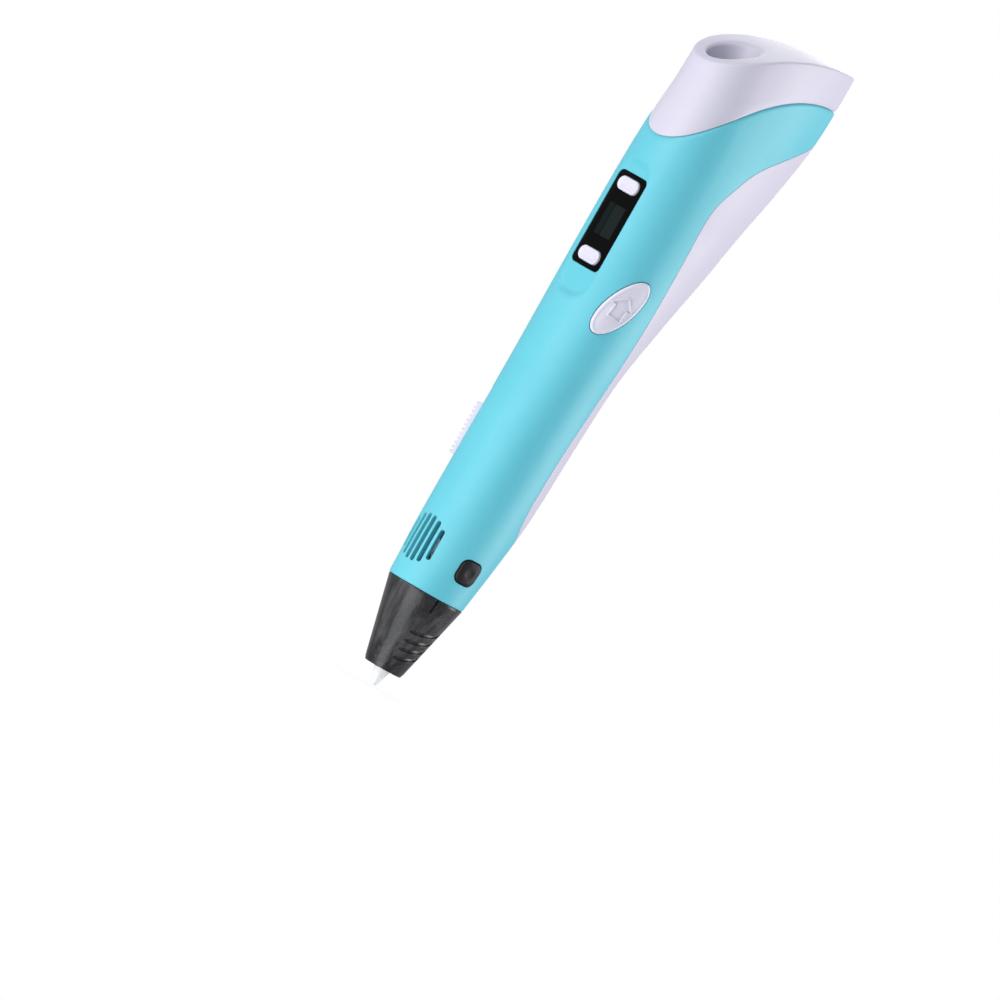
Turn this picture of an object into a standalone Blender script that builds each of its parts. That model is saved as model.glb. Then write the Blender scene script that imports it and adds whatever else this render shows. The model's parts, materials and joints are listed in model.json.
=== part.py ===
import math

import bmesh
import bpy
from mathutils import Matrix, Vector

# A hand-held pen that melts plastic filament and draws with it.
# Sizes are millimetres and angles are degrees. The tip of the nozzle is the origin and +Z
# runs up the pen. -Y is the display side and +X is the side with the unload button.
# An angle round the pen is 0 at the display and grows towards +X.

MM = 0.001

# Overall
PEN_LENGTH = 184.0
PEN_WIDTH = 28.2
PEN_DEPTH = 47.3
WALL = 1.8
DISPLAY_WALL = 2.9
SEAM = 0.3              # gap between pieces that touch
RUNNING = 0.12          # radial gap of turning pieces

# Nose
CONE_LENGTH = 20.95
CONE_TIP_R = 4.95
COLLAR_R = 10.0
CONE_WALL = 1.3
NOZZLE_REACH = 4.45     # nozzle beyond the cone
NOZZLE_TIP_R = 0.75
NOZZLE_MOUTH_R = 2.2    # nozzle where it leaves the cone
NOZZLE_BODY_R = 3.0
NOZZLE_LENGTH = 24.0
NOZZLE_BORE_R = 0.35
NECK_WALL = 1.25
NECK_LENGTH = 4.6
SLEEVE_WALL = 0.6
SLEEVE_LENGTH = 8.0
SLEEVE_Z = 11.0
WRAP_WALL = 0.7
WRAP_LENGTH = 5.6
SLIT_WIDTH = 0.85
SLIT_DEPTH = 3.6
SLIT_ANGLE = 72.0
GROOVE_R = 0.55
GROOVE_COUNT = 4
GROOVE_PITCH = 2.45
GROOVE_RISE = 2.5
GROOVE_START = 57.0
GROOVE_END = 141.0

# Filament path
FILAMENT_R = 0.875
TUBE_R = 1.6
TUBE_BORE_R = 1.0
TUBE_BEND = 11.5        # length of the feed tube's bend below the tail

# Tail
END_DROP = 14.0         # front edge of the end face below its back tip
END_CURVE = 2.6
CAP_HEIGHT = 9.4        # cap at the back tip
CAP_DROP = 25.0         # cap's front lobe below its edge at the back
CAP_CURVE = 2.65
RECESS_R = 5.8
RECESS_Y = 0.7
RECESS_DEPTH = 9.6      # below the end face at the recess's middle
RECESS_FLOOR = 1.6

# Display and its buttons
DISPLAY_PLACE = 0.6275  # share of the body's length
DISPLAY_LENGTH = 25.0
DISPLAY_WIDTH = 11.3
DISPLAY_THICK = 0.8
DISPLAY_CORNER = 1.4
PAD_LENGTH = 37.2
PAD_WIDTH = 14.2
PAD_DEPTH = 1.1
PAD_LIFT = -2.2         # pad's middle from the display's middle
LEDGE = 0.8
KEY_PITCH = 19.1
KEY_LENGTH = 8.0
KEY_HEIGHT = 3.6
KEY_PROUD = 0.5
KEY_TRAVEL = 0.5
PANEL_LENGTH = 12.4
PANEL_WIDTH = 9.2
BOARD_THICK = 0.8
BOARD_WIDTH = 9.8
BOARD_ABOVE = 2.0       # board beyond the display's ends
BOARD_BELOW = 11.0
SWITCH_SIZE = 4.5
SWITCH_THICK = 0.9
PLUNGER_R = 1.1
PLUNGER_LENGTH = 0.55

# Unload button
UNLOAD_PLACE = 0.520
UNLOAD_ANGLE = 60.5
UNLOAD_ACROSS = 5.1
UNLOAD_LENGTH = 17.6
UNLOAD_WIDTH = 7.5
UNLOAD_TILT = 23.0
UNLOAD_PROUD = 0.9
UNLOAD_TRAVEL = 0.7

# Feed button
FEED_PLACE = 0.0565
FEED_ANGLE = 90.0
FEED_SIZE = 6.0
FEED_CORNER = 1.5
FEED_PROUD = 0.45
FEED_TRAVEL = 0.5

# Speed slider
SLIDER_PLACE = 0.2465
SLIDER_ANGLE = -64.0
SLIDER_LENGTH = 14.4
SLIDER_WIDTH = 5.0
SLIDER_PROUD = 1.7
SLIDER_TRAVEL = 4.5     # each way
RIB_COUNT = 12
TRACK_DEPTH = 0.5
STEM_WIDTH = 1.6
STEM_LENGTH = 3.2
POT_DEPTH = 3.6
POT_WIDTH = 5.0

# Vents and fan
VENT_PLACE = 0.070
VENT_COUNT = 6
VENT_ANGLE = 12.0
VENT_WIDTH = 1.25
VENT_LENGTH = 12.4
FAN_SIZE = 12.0
FAN_THICK = 3.0
FAN_ROTOR_R = 4.8
FAN_HUB_R = 2.0
FAN_BLADES = 5

# Feed mechanism
DRIVE_PLACE = 0.35565   # share of the body's length
FRAME_PLATE = 1.6
FRAME_HEIGHT = 16.6
FRAME_WIDTH = 16.4
FRAME_WALL = 1.2
SCREW_R = 3.1
SCREW_SHAFT_R = 0.9
SCREW_PITCH = 1.4
SCREW_TURNS = 5
SCREW_BITE = 0.075
GEAR_MODULE = 0.6
GEAR_TEETH = 8          # on the feed screw
PINION_TEETH = 10       # on the motor
GEAR_THICK = 2.4
OUTPUT_R = 1.4
MOTOR_R = 6.0
MOTOR_FLAT = 5.0
GEARBOX_LENGTH = 9.0
MOTOR_LENGTH = 15.0
IDLER_R = 1.75
IDLER_WIDTH = 2.5
IDLER_PIN_R = 0.7
LEVER_WALL = 1.0
LEVER_ARM = 4.2         # idler above the lever's pin
LEVER_PIN_Y = -4.1

# Power inlet
JACK_WIDTH = 9.0
JACK_DEPTH = 7.6
JACK_LENGTH = 12.0
JACK_BORE_R = 2.8
JACK_PIN_R = 1.0
JACK_Y = 3.1
INLET_Y = -2.9

# Screws
BOLT_R = 0.9
BOLT_HEAD_R = 1.7
BOLT_HEAD = 1.2
BOLT_LENGTH = 6.5
BOLT_PLACES = (0.19, 0.33, 0.70)
RIB_HEIGHT = 4.4        # cross ribs that take the screws

RING = 36               # corners of one ring of the skin
COLLAR_Z = NOZZLE_REACH + CONE_LENGTH + SEAM
BODY = PEN_LENGTH - COLLAR_Z
FEED_Z = COLLAR_Z + DRIVE_PLACE * BODY     # bottom of the feed frame

# The skin, from the collar to the tail: share of the body's length, half width as a share of
# the width, then front, middle and back as shares of the depth, and how pointed the back is.
SKIN = (
    (0.030, 0.366, 0.2093, 0.0000, 0.2315, 0.50),
    (0.078, 0.388, 0.2093, 0.0019, 0.2606, 0.50),
    (0.166, 0.408, 0.2033, 0.0107, 0.3073, 0.50),
    (0.311, 0.433, 0.1906, 0.0214, 0.3307, 0.50),
    (0.419, 0.457, 0.1819, 0.0321, 0.3598, 0.52),
    (0.526, 0.488, 0.1765, 0.0486, 0.4483, 0.56),
    (0.621, 0.500, 0.1765, 0.0632, 0.5407, 0.58),
    (0.697, 0.499, 0.1765, 0.0700, 0.6107, 0.61),
    (0.785, 0.482, 0.1731, 0.0807, 0.7022, 0.66),
    (0.867, 0.429, 0.1564, 0.0846, 0.7702, 0.71),
    (0.937, 0.405, 0.1564, 0.0846, 0.7907, 0.74),
    (1.100, 0.399, 0.1564, 0.0846, 0.7907, 0.74),
)
SQUARENESS = 2.1        # front of the skin, 2 is an ellipse

UP = Vector((0, 0, 1))


# ---- numbers ---------------------------------------------------------------------------

def smooth(knots, x):
    """Value at x of a smooth curve through knots (x, y), level beyond its ends."""
    if x <= knots[0][0]:
        return knots[0][1]
    if x >= knots[-1][0]:
        return knots[-1][1]
    slopes = []
    for i, knot in enumerate(knots):
        before = knots[max(i - 1, 0)]
        after = knots[min(i + 1, len(knots) - 1)]
        slopes.append((after[1] - before[1]) / (after[0] - before[0]))
    i = max(k for k in range(len(knots) - 1) if knots[k][0] <= x)
    (x0, y0), (x1, y1) = knots[i], knots[i + 1]
    run = x1 - x0
    t = (x - x0) / run
    bend0, bend1 = slopes[i] * run, slopes[i + 1] * run
    return ((2 * t ** 3 - 3 * t ** 2 + 1) * y0 + (t ** 3 - 2 * t ** 2 + t) * bend0
            + (3 * t ** 2 - 2 * t ** 3) * y1 + (t ** 3 - t ** 2) * bend1)


def skin_numbers(z):
    """Half width, front, middle, back and pointedness of the outer skin at height z."""
    collar = (0.0, COLLAR_R / PEN_WIDTH, COLLAR_R / PEN_DEPTH, 0.0, COLLAR_R / PEN_DEPTH, 0.5)
    rows = (collar,) + SKIN
    share = (z - COLLAR_Z) / BODY
    column = [smooth([(row[0], row[i]) for row in rows], share) for i in range(1, 6)]
    return (column[0] * PEN_WIDTH, column[1] * PEN_DEPTH, column[2] * PEN_DEPTH,
            column[3] * PEN_DEPTH, column[4])


def skin_point(corner, z, inset=0.0, front_inset=None):
    """One corner of the skin's ring at height z. Corner 0 is the front, then towards +X."""
    width, front, middle, back, point = skin_numbers(z)
    front_inset = inset if front_inset is None else front_inset
    width -= inset
    front -= front_inset
    back -= inset * (1 + 2.4 * (point - 0.5))
    half = RING // 2
    side = 1 if corner <= half else -1
    turn = math.pi * (corner if side == 1 else RING - corner) / half
    if turn <= math.pi / 2:
        power = 2 / SQUARENESS
        x = width * abs(math.sin(turn)) ** power
        y = middle - (front + middle) * abs(math.cos(turn)) ** power
    else:
        x = width * abs(math.sin(turn)) ** (2 * point)
        y = middle + (back - middle) * abs(math.cos(turn))
    return Vector((side * x, y, z))


def depth_share(y):
    """0 at the front of the tail and 1 at its back tip."""
    front, back = skin_numbers(PEN_LENGTH)[1], skin_numbers(PEN_LENGTH)[3]
    return min((y + front) / (front + back), 1.0)


def end_height(y):
    return PEN_LENGTH - END_DROP * (1 - depth_share(y)) ** END_CURVE


def cap_height(y):
    drop = CAP_DROP * (1 - depth_share(y)) ** CAP_CURVE
    return PEN_LENGTH - CAP_HEIGHT - drop


def ring_on(curve, lower=0.0, inset=0.0, front_inset=None):
    """A ring of the skin whose height follows curve(y), lowered by lower."""
    ring = []
    for corner in range(RING):
        z = curve(0) - lower
        for _ in range(8):
            z = curve(skin_point(corner, z, inset, front_inset).y) - lower
        ring.append(skin_point(corner, z, inset, front_inset))
    return ring


def ring_at(z, inset=0.0, front_inset=None):
    return [skin_point(corner, z, inset, front_inset) for corner in range(RING)]


def round_ring(z, radius):
    """A plain round ring with as many corners as the skin."""
    turns = [2 * math.pi * corner / RING for corner in range(RING)]
    return [Vector((radius * math.sin(t), -radius * math.cos(t), z)) for t in turns]


def on_body(share):
    return COLLAR_Z + share * BODY


def outward(angle):
    turn = math.radians(angle)
    return Vector((math.sin(turn), -math.cos(turn), 0))


def reach(angle, z, across=0.0, inset=0.0):
    """Distance from the pen's axis plane to the skin, along angle, at across to its right."""
    out = outward(angle)
    right = UP.cross(out)
    ring = ring_at(z, inset, front_inset(z) if inset else None)
    found = 0.0
    for a, b in zip(ring, ring[1:] + ring[:1]):
        left_a, left_b = a.dot(right) - across, b.dot(right) - across
        if left_a * left_b <= 0 and left_a != left_b:
            share = left_a / (left_a - left_b)
            found = max(found, a.lerp(b, share).dot(out))
    return found


# ---- outlines, drawn flat and listed anticlockwise ---------------------------------------

def rounded(width, height, radius, steps=4, centre=(0, 0)):
    points = []
    radius = min(radius, width / 2 - 0.01, height / 2 - 0.01)
    for quarter, (sx, sy) in enumerate(((1, 1), (-1, 1), (-1, -1), (1, -1))):
        cx = centre[0] + sx * (width / 2 - radius)
        cy = centre[1] + sy * (height / 2 - radius)
        for step in range(steps + 1):
            turn = math.pi / 2 * (quarter + step / steps)
            points.append((cx + radius * math.cos(turn), cy + radius * math.sin(turn)))
    return points


def box_outline(left, right, low, high):
    return [(left, low), (right, low), (right, high), (left, high)]


def oval(width, height, tilt, steps=28):
    lean = math.radians(tilt)
    points = []
    for step in range(steps):
        turn = 2 * math.pi * step / steps
        x, y = width / 2 * math.cos(turn), height / 2 * math.sin(turn)
        points.append((x * math.cos(lean) + y * math.sin(lean),
                       y * math.cos(lean) - x * math.sin(lean)))
    return points


def circle(radius, steps=20, centre=(0, 0)):
    turns = [2 * math.pi * step / steps for step in range(steps)]
    return [(centre[0] + radius * math.cos(t), centre[1] + radius * math.sin(t)) for t in turns]


def gear(teeth):
    """Spur gear outline with a little play. The first tooth points along x."""
    pitch_r = GEAR_MODULE * teeth / 2
    root, tip = pitch_r - 1.25 * GEAR_MODULE, pitch_r + 0.72 * GEAR_MODULE
    step = 2 * math.pi / teeth
    points = []
    for tooth in range(teeth):
        middle = tooth * step
        for radius, share in ((root, -0.27), (tip, -0.10), (tip, 0.10), (root, 0.27)):
            turn = middle + share * step * (pitch_r / radius)
            points.append((radius * math.cos(turn), radius * math.sin(turn)))
    return points


# ---- solids, as bmeshes in millimetres ---------------------------------------------------

def place(angle=0.0, z=0.0, across=0.0):
    """Frame of a piece on the skin: x to its right, y up the pen and z outwards."""
    out = outward(angle)
    right = UP.cross(out)
    spot = right * across + UP * z
    return Matrix((
        (right.x, 0, out.x, spot.x),
        (right.y, 0, out.y, spot.y),
        (0, 1, 0, spot.z),
        (0, 0, 0, 1),
    ))


def upright(x=0.0, y=0.0, z=0.0):
    """Frame of a piece that stands along the pen."""
    return Matrix.Translation((x, y, z))


def across_pen(x=0.0, y=0.0, z=0.0):
    """Frame of a piece whose axis runs along +X, with its flat x along Y and y along Z."""
    return Matrix(((0, 0, 1, x), (1, 0, 0, y), (0, 1, 0, z), (0, 0, 0, 1)))


def skin_of(rings, closed=True):
    """Stack of rings joined into one surface; closed joins the last ring to the first."""
    mesh = bmesh.new()
    rows = [[mesh.verts.new(point) for point in ring] for ring in rings]
    pairs = list(zip(rows, rows[1:]))
    if closed:
        pairs.append((rows[-1], rows[0]))
    for low, high in pairs:
        for i in range(len(low)):
            j = (i + 1) % len(low)
            mesh.faces.new((low[i], low[j], high[j], high[i]))
    if not closed:
        ruled_lid(mesh, rows[0], True)
        ruled_lid(mesh, rows[-1], False)
    bmesh.ops.recalc_face_normals(mesh, faces=mesh.faces)
    return mesh


def ruled_lid(mesh, ring, flip):
    """Lid of a mirror-symmetric ring, made of strips straight across the pen."""
    count = len(ring)
    for i in range(count // 2):
        corners = [ring[i], ring[i + 1], ring[(count - i - 1) % count], ring[(count - i) % count]]
        unique = [c for k, c in enumerate(corners) if c not in corners[:k]]
        mesh.faces.new(list(reversed(unique)) if flip else unique)


def prism(outline, frame, low, high):
    """Flat outline pushed from low to high along the frame's z."""
    mesh = bmesh.new()
    ends = [[mesh.verts.new(frame @ Vector((x, y, z))) for x, y in outline] for z in (low, high)]
    mesh.faces.new(list(reversed(ends[0])))
    mesh.faces.new(ends[1])
    for i in range(len(outline)):
        j = (i + 1) % len(outline)
        mesh.faces.new((ends[0][i], ends[0][j], ends[1][j], ends[1][i]))
    bmesh.ops.recalc_face_normals(mesh, faces=mesh.faces)
    return mesh


def turned(profile, frame, steps=24):
    """Closed profile of (radius, height) points spun round the frame's z."""
    mesh = bmesh.new()
    rows = []
    for radius, height in profile:
        if radius == 0:
            rows.append([mesh.verts.new(frame @ Vector((0, 0, height)))])
            continue
        spots = circle(radius, steps)
        rows.append([mesh.verts.new(frame @ Vector((x, y, height))) for x, y in spots])
    for low, high in zip(rows, rows[1:] + rows[:1]):
        for i in range(steps):
            j = (i + 1) % steps
            corners = [low[i % len(low)], low[j % len(low)], high[j % len(high)], high[i % len(high)]]
            unique = [c for k, c in enumerate(corners) if c not in corners[:k]]
            if len(unique) > 2:
                mesh.faces.new(unique)
    bmesh.ops.recalc_face_normals(mesh, faces=mesh.faces)
    return mesh


def sleeve(bore, outer, low, high, frame, steps=24):
    return turned([(bore, low), (outer, low), (outer, high), (bore, high)], frame, steps)


def rod(radius, low, high, frame, steps=20):
    return prism(circle(radius, steps), frame, low, high)


# ---- objects -----------------------------------------------------------------------------

def clear_scene():
    for item in list(bpy.data.objects):
        bpy.data.objects.remove(item, do_unlink=True)


def finish(name, colour, roughness=0.45, metallic=0.0):
    material = bpy.data.materials.new(name)
    material.use_nodes = True
    shader = material.node_tree.nodes["Principled BSDF"]
    shader.inputs["Base Color"].default_value = (*colour, 1)
    shader.inputs["Roughness"].default_value = roughness
    shader.inputs["Metallic"].default_value = metallic
    return material


def add(name, mesh, material=None, origin=(0, 0, 0)):
    """Object in metres from a bmesh in millimetres; with no material it is a cutter."""
    origin = Vector(origin)
    bmesh.ops.transform(mesh, matrix=Matrix.Scale(MM, 4) @ Matrix.Translation(-origin),
                        verts=mesh.verts)
    data = bpy.data.meshes.new(name)
    mesh.to_mesh(data)
    mesh.free()
    data.shade_smooth()
    data.set_sharp_from_angle(angle=math.radians(32))
    item = bpy.data.objects.new(name, data)
    item.location = origin * MM
    bpy.context.scene.collection.objects.link(item)
    if material:
        data.materials.append(material)
    else:
        item.hide_render = True
        item.display_type = "WIRE"
    return item


def apply(item, other, operation="DIFFERENCE"):
    modifier = item.modifiers.new(other.name, "BOOLEAN")
    modifier.operation = operation
    modifier.solver = "EXACT"
    modifier.object = other


def cut(item, name, mesh):
    apply(item, add(name, mesh))


def join(item, name, mesh):
    apply(item, add(name, mesh), "UNION")


# ---- shells ------------------------------------------------------------------------------

def front_inset(z):
    """The front wall is thicker under the display."""
    share = (z - COLLAR_Z) / BODY
    return smooth([(0.465, WALL), (0.50, DISPLAY_WALL), (0.74, DISPLAY_WALL), (0.80, WALL)], share)


def body_tube():
    """Both shells as one tube, from the neck inside the cone to the cap's edge."""
    neck_r = neck_outer()
    stations = [0.012, 0.030, 0.060, 0.105, 0.166, 0.236, 0.311, 0.380, 0.462, 0.492, 0.526,
                0.558, 0.590, 0.650, 0.697]
    heights = [COLLAR_Z] + [on_body(share) for share in stations]
    edge_outer = ring_on(cap_height, SEAM)
    edge_inner = ring_on(cap_height, SEAM, WALL)
    outer = [round_ring(COLLAR_Z - NECK_LENGTH, neck_r), round_ring(COLLAR_Z, neck_r)]
    inner = [round_ring(COLLAR_Z - NECK_LENGTH, neck_r - NECK_WALL),
             round_ring(COLLAR_Z + WALL, neck_r - NECK_WALL)]
    for z in heights:
        outer.append(ring_at(z))
        if z > COLLAR_Z + WALL + 1:
            inner.append(ring_at(z, WALL, front_inset(z)))
    for share in (0.34, 0.67, 1.0):
        outer.append(between_skin(heights[-1], edge_outer, share, 0.0))
        inner.append(between_skin(heights[-1], edge_inner, share, WALL))
    return skin_of(outer + list(reversed(inner)))


def between_skin(low, edge, share, inset):
    """Ring on the skin part of the way from height low up to the ring edge."""
    ring = []
    for corner, point in enumerate(edge):
        z = low + (point.z - low) * share
        ring.append(skin_point(corner, z, inset, front_inset(z) if inset else None))
    return ring


def neck_outer():
    """Neck radius that leaves the cone its wall round the neck."""
    lowest = COLLAR_Z - NECK_LENGTH - SEAM
    return cone_radius(lowest) - CONE_WALL * 0.85 - SEAM


def cone_radius(z):
    share = (z - NOZZLE_REACH) / CONE_LENGTH
    return CONE_TIP_R + share * (COLLAR_R - CONE_TIP_R)


def back_outline(grow=0.0):
    """Side view of the space the back shell fills: (y, z) points, anticlockwise."""
    knots = [
        (0.342 * PEN_DEPTH, on_body(0.106)),
        (0.236 * PEN_DEPTH, on_body(0.126)),
        (0.1585 * PEN_DEPTH, on_body(0.17)),
        (0.152 * PEN_DEPTH, on_body(0.27)),
        (0.1905 * PEN_DEPTH, on_body(0.435)),
        (0.171 * PEN_DEPTH, on_body(0.608)),
        (0.167 * PEN_DEPTH, on_body(0.706)),
        (0.233 * PEN_DEPTH, on_body(0.757)),
        (0.370 * PEN_DEPTH, on_body(0.809)),
        (0.704 * PEN_DEPTH, on_body(0.8705)),
        (0.810 * PEN_DEPTH, on_body(0.884)),
    ]
    ys = [(i, knot[0]) for i, knot in enumerate(knots)]
    zs = [(i, knot[1]) for i, knot in enumerate(knots)]
    steps = 3 * (len(knots) - 1)
    line = [Vector((smooth(ys, i / 3), smooth(zs, i / 3))) for i in range(steps + 1)]
    grown = []
    for i, point in enumerate(line):
        along = (line[min(i + 1, steps)] - line[max(i - 1, 0)]).normalized()
        grown.append(point + Vector((-along.y, along.x)) * grow)
    far = 2 * PEN_DEPTH
    ends = [(far, grown[-1].y), (far, grown[0].y)]
    return [tuple(point) for point in grown] + ends


def split_y(z):
    """Where the parting line between the shells lies at height z, in the straight stretch."""
    points = [(zz, yy) for yy, zz in back_outline()[:-2]]
    return smooth(sorted(points), z)


def make_shells(turquoise, white):
    front = add("front_shell", body_tube(), turquoise)
    cut(front, "cut_back_space", prism(back_outline(SEAM), across_pen(), -PEN_WIDTH, PEN_WIDTH))
    back = add("back_shell", body_tube(), white)
    space = add("back_space", prism(back_outline(), across_pen(), -PEN_WIDTH, PEN_WIDTH))
    apply(back, space, "INTERSECT")
    cut_display(front)
    cut_side_openings(front)
    cut_vents(front)
    fasten(front, back)


def display_z():
    return on_body(DISPLAY_PLACE)


def display_y():
    """Distance of the flat pad from the axis, which is also the window's face."""
    return skin_numbers(display_z())[1] - PAD_DEPTH


def cut_display(front):
    z = display_z()
    face = display_y()
    far = PEN_DEPTH
    pad = rounded(PAD_WIDTH, PAD_LENGTH, PAD_WIDTH / 2.4, 6)
    cut(front, "cut_pad", prism(pad, place(0, z + PAD_LIFT), face, far))
    bed = rounded(DISPLAY_WIDTH + 2 * SEAM, DISPLAY_LENGTH + 2 * SEAM, DISPLAY_CORNER + SEAM, 3)
    cut(front, "cut_window", prism(bed, place(0, z), face - DISPLAY_THICK - SEAM, far))
    opening = rounded(DISPLAY_WIDTH - 2 * LEDGE, DISPLAY_LENGTH - 2 * LEDGE, DISPLAY_CORNER / 2, 2)
    cut(front, "cut_opening", prism(opening, place(0, z), 0, far))


def cut_side_openings(front):
    far = PEN_DEPTH
    hole = oval(UNLOAD_WIDTH + 2 * SEAM, UNLOAD_LENGTH + 2 * SEAM, UNLOAD_TILT)
    cut(front, "cut_unload", prism(hole, unload_frame(), UNLOAD_WIDTH, far))
    hole = rounded(FEED_SIZE + 2 * SEAM, FEED_SIZE + 2 * SEAM, FEED_CORNER + SEAM, 3)
    cut(front, "cut_feed", prism(hole, place(FEED_ANGLE, on_body(FEED_PLACE)), FEED_SIZE, far))
    z = on_body(SLIDER_PLACE)
    floor = track_floor()
    length = SLIDER_LENGTH + 2 * (SLIDER_TRAVEL + SEAM)
    track = rounded(SLIDER_WIDTH + 2 * SEAM, length, 1.0, 2)
    cut(front, "cut_track", prism(track, place(SLIDER_ANGLE, z), floor, far))
    length = STEM_LENGTH + 2 * (SLIDER_TRAVEL + SEAM)
    slot = box_outline(-STEM_WIDTH / 2 - SEAM, STEM_WIDTH / 2 + SEAM, -length / 2, length / 2)
    cut(front, "cut_slot", prism(slot, place(SLIDER_ANGLE, z), floor - 3 * WALL, far))


def track_floor():
    """Flat floor of the slider's track, below the skin all along its run."""
    z = on_body(SLIDER_PLACE)
    run = SLIDER_LENGTH / 2 + SLIDER_TRAVEL
    edge = SLIDER_WIDTH / 2
    spots = [reach(SLIDER_ANGLE, z + up, side) for up in (-run, 0, run) for side in (-edge, edge)]
    return min(spots) - TRACK_DEPTH


def cut_vents(front):
    z = on_body(VENT_PLACE)
    middle = (VENT_COUNT - 1) / 2
    for i in range(VENT_COUNT):
        share = (i - middle) / (middle + 0.8)
        length = VENT_LENGTH * math.sqrt(1 - share ** 2)
        slot = rounded(VENT_WIDTH, length, VENT_WIDTH / 2, 3)
        frame = place((i - middle) * VENT_ANGLE, z)
        cut(front, f"cut_vent_{i + 1}", prism(slot, frame, COLLAR_R - 2 * WALL, PEN_DEPTH))


def bolt_spots():
    """Height and seat of each shell screw. They stand on the middle line of the back."""
    heights = [on_body(share) for share in BOLT_PLACES]
    return [(z, split_y(z) + 2 * SEAM + BOLT_HEAD) for z in heights]


def fasten(front, back):
    """Wells in the back shell and cross ribs in the front shell for the shell screws."""
    inside = add("bolt_skin", skin_of([ring_at(on_body(s), WALL / 2) for s in
                                       (0.12, 0.19, 0.27, 0.36, 0.44, 0.54, 0.62, 0.70, 0.78)],
                                      False))
    far = PEN_DEPTH
    for number, (z, seat) in enumerate(bolt_spots(), 1):
        line = split_y(z)
        frame = place(180, z)
        well_r = BOLT_HEAD_R + SEAM + 0.9
        bottom = seat - BOLT_LENGTH
        post = add(f"post_{number}", rod(well_r, line + SEAM, far, frame, 18))
        apply(post, inside, "INTERSECT")
        apply(back, post, "UNION")
        cut(back, f"cut_clear_{number}", rod(BOLT_R + SEAM, line - 1, far, frame, 14))
        cut(back, f"cut_head_{number}", rod(BOLT_HEAD_R + SEAM, seat, far, frame, 18))
        rib = box_outline(-PEN_WIDTH, PEN_WIDTH, -RIB_HEIGHT / 2, RIB_HEIGHT / 2)
        rib = add(f"rib_{number}", prism(rib, frame, bottom - 0.4, line - 2 * SEAM))
        apply(rib, inside, "INTERSECT")
        apply(front, rib, "UNION")
        cut(front, f"cut_pilot_{number}", rod(BOLT_R + SEAM, bottom - 3, far, frame, 14))


def make_bolts(steel):
    for number, (z, seat) in enumerate(bolt_spots(), 1):
        seat += SEAM
        tip = seat - BOLT_LENGTH
        profile = [(0, tip), (BOLT_R, tip), (BOLT_R, seat), (BOLT_HEAD_R, seat),
                   (BOLT_HEAD_R, seat + BOLT_HEAD * 0.7), (BOLT_HEAD_R * 0.8, seat + BOLT_HEAD),
                   (0, seat + BOLT_HEAD)]
        add(f"shell_screw_{number}", turned(profile, place(180, z), 16), steel)


def recess_floor():
    return end_height(RECESS_Y) - RECESS_DEPTH


def make_tail_cap(white):
    outer = [ring_on(cap_height), None, ring_on(end_height, 0.5), ring_on(end_height, 0.0, 0.5)]
    outer[1] = ring_on(lambda y: (cap_height(y) + end_height(y)) / 2)
    inner = [ring_on(cap_height, 0.0, WALL), None, ring_on(end_height, WALL, WALL)]
    inner[1] = ring_on(lambda y: (cap_height(y) + end_height(y) - WALL) / 2, 0.0, WALL)
    solid = add("tail_cap", skin_of(outer, False), white)
    cut(solid, "cut_cap_inside", skin_of([ring_on(cap_height, 3.0, WALL)] + inner, False))
    floor = recess_floor()
    well = circle(RECESS_R + WALL, 32, (0, RECESS_Y))
    cup = add("cap_cup", prism(well, upright(), floor - RECESS_FLOOR, PEN_LENGTH))
    lid = add("cap_lid", skin_of([ring_on(end_height, 3 * RECESS_DEPTH), ring_on(end_height, 0.6)],
                                 False))
    apply(cup, lid, "INTERSECT")
    apply(solid, cup, "UNION")
    cut(solid, "cut_recess", prism(circle(RECESS_R, 32, (0, RECESS_Y)), upright(), floor,
                                   2 * PEN_LENGTH))
    cut(solid, "cut_jack_mouth", prism(circle(JACK_BORE_R + 0.2, 20, (0, JACK_Y)), upright(),
                                       floor - 3 * RECESS_FLOOR, floor + 1))
    cut(solid, "cut_inlet", prism(circle(TUBE_R + SEAM, 16, (0, INLET_Y)), upright(),
                                  floor - 3 * RECESS_FLOOR, floor + 1))


# ---- nose --------------------------------------------------------------------------------

def make_nose_cone(black):
    low, high = NOZZLE_REACH, NOZZLE_REACH + CONE_LENGTH
    seat = COLLAR_Z - NECK_LENGTH - SEAM
    hole = NOZZLE_MOUTH_R + 0.65
    neck = neck_outer() + SEAM
    edge = 0.35
    profile = [
        (hole, low), (CONE_TIP_R - edge, low), (CONE_TIP_R, low + edge), (COLLAR_R, high),
        (neck, high), (neck, seat), (cone_radius(seat) - 1.6 * CONE_WALL, seat),
        (cone_radius(low + 2) - CONE_WALL, low + 2), (hole, low + CONE_WALL),
    ]
    cone = add("nose_cone", turned(profile, upright(), 36), black)
    for side in (-1, 1):
        slit = box_outline(-SLIT_WIDTH / 2, SLIT_WIDTH / 2, high - SLIT_DEPTH, high + 1)
        cut(cone, f"cut_slit_{side}", prism(slit, place(side * SLIT_ANGLE), neck - 1, 2 * COLLAR_R))
        for i in range(GROOVE_COUNT):
            start = low + 4.0 + i * GROOVE_PITCH
            cut(cone, f"cut_groove_{side}_{i}", groove(start, side))


def groove(start, side, steps=7, sides=6):
    """Tube that lies along the cone's skin, rising towards the back."""
    rings = []
    for step in range(steps + 1):
        share = step / steps
        z = start + GROOVE_RISE * share ** 1.6
        out = outward(side * (GROOVE_START + share * (GROOVE_END - GROOVE_START)))
        middle = out * cone_radius(z) + UP * z
        turns = [2 * math.pi * k / sides for k in range(sides)]
        rings.append([middle + (out * math.cos(t) + UP * math.sin(t)) * GROOVE_R for t in turns])
    return skin_of(rings, False)


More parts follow.
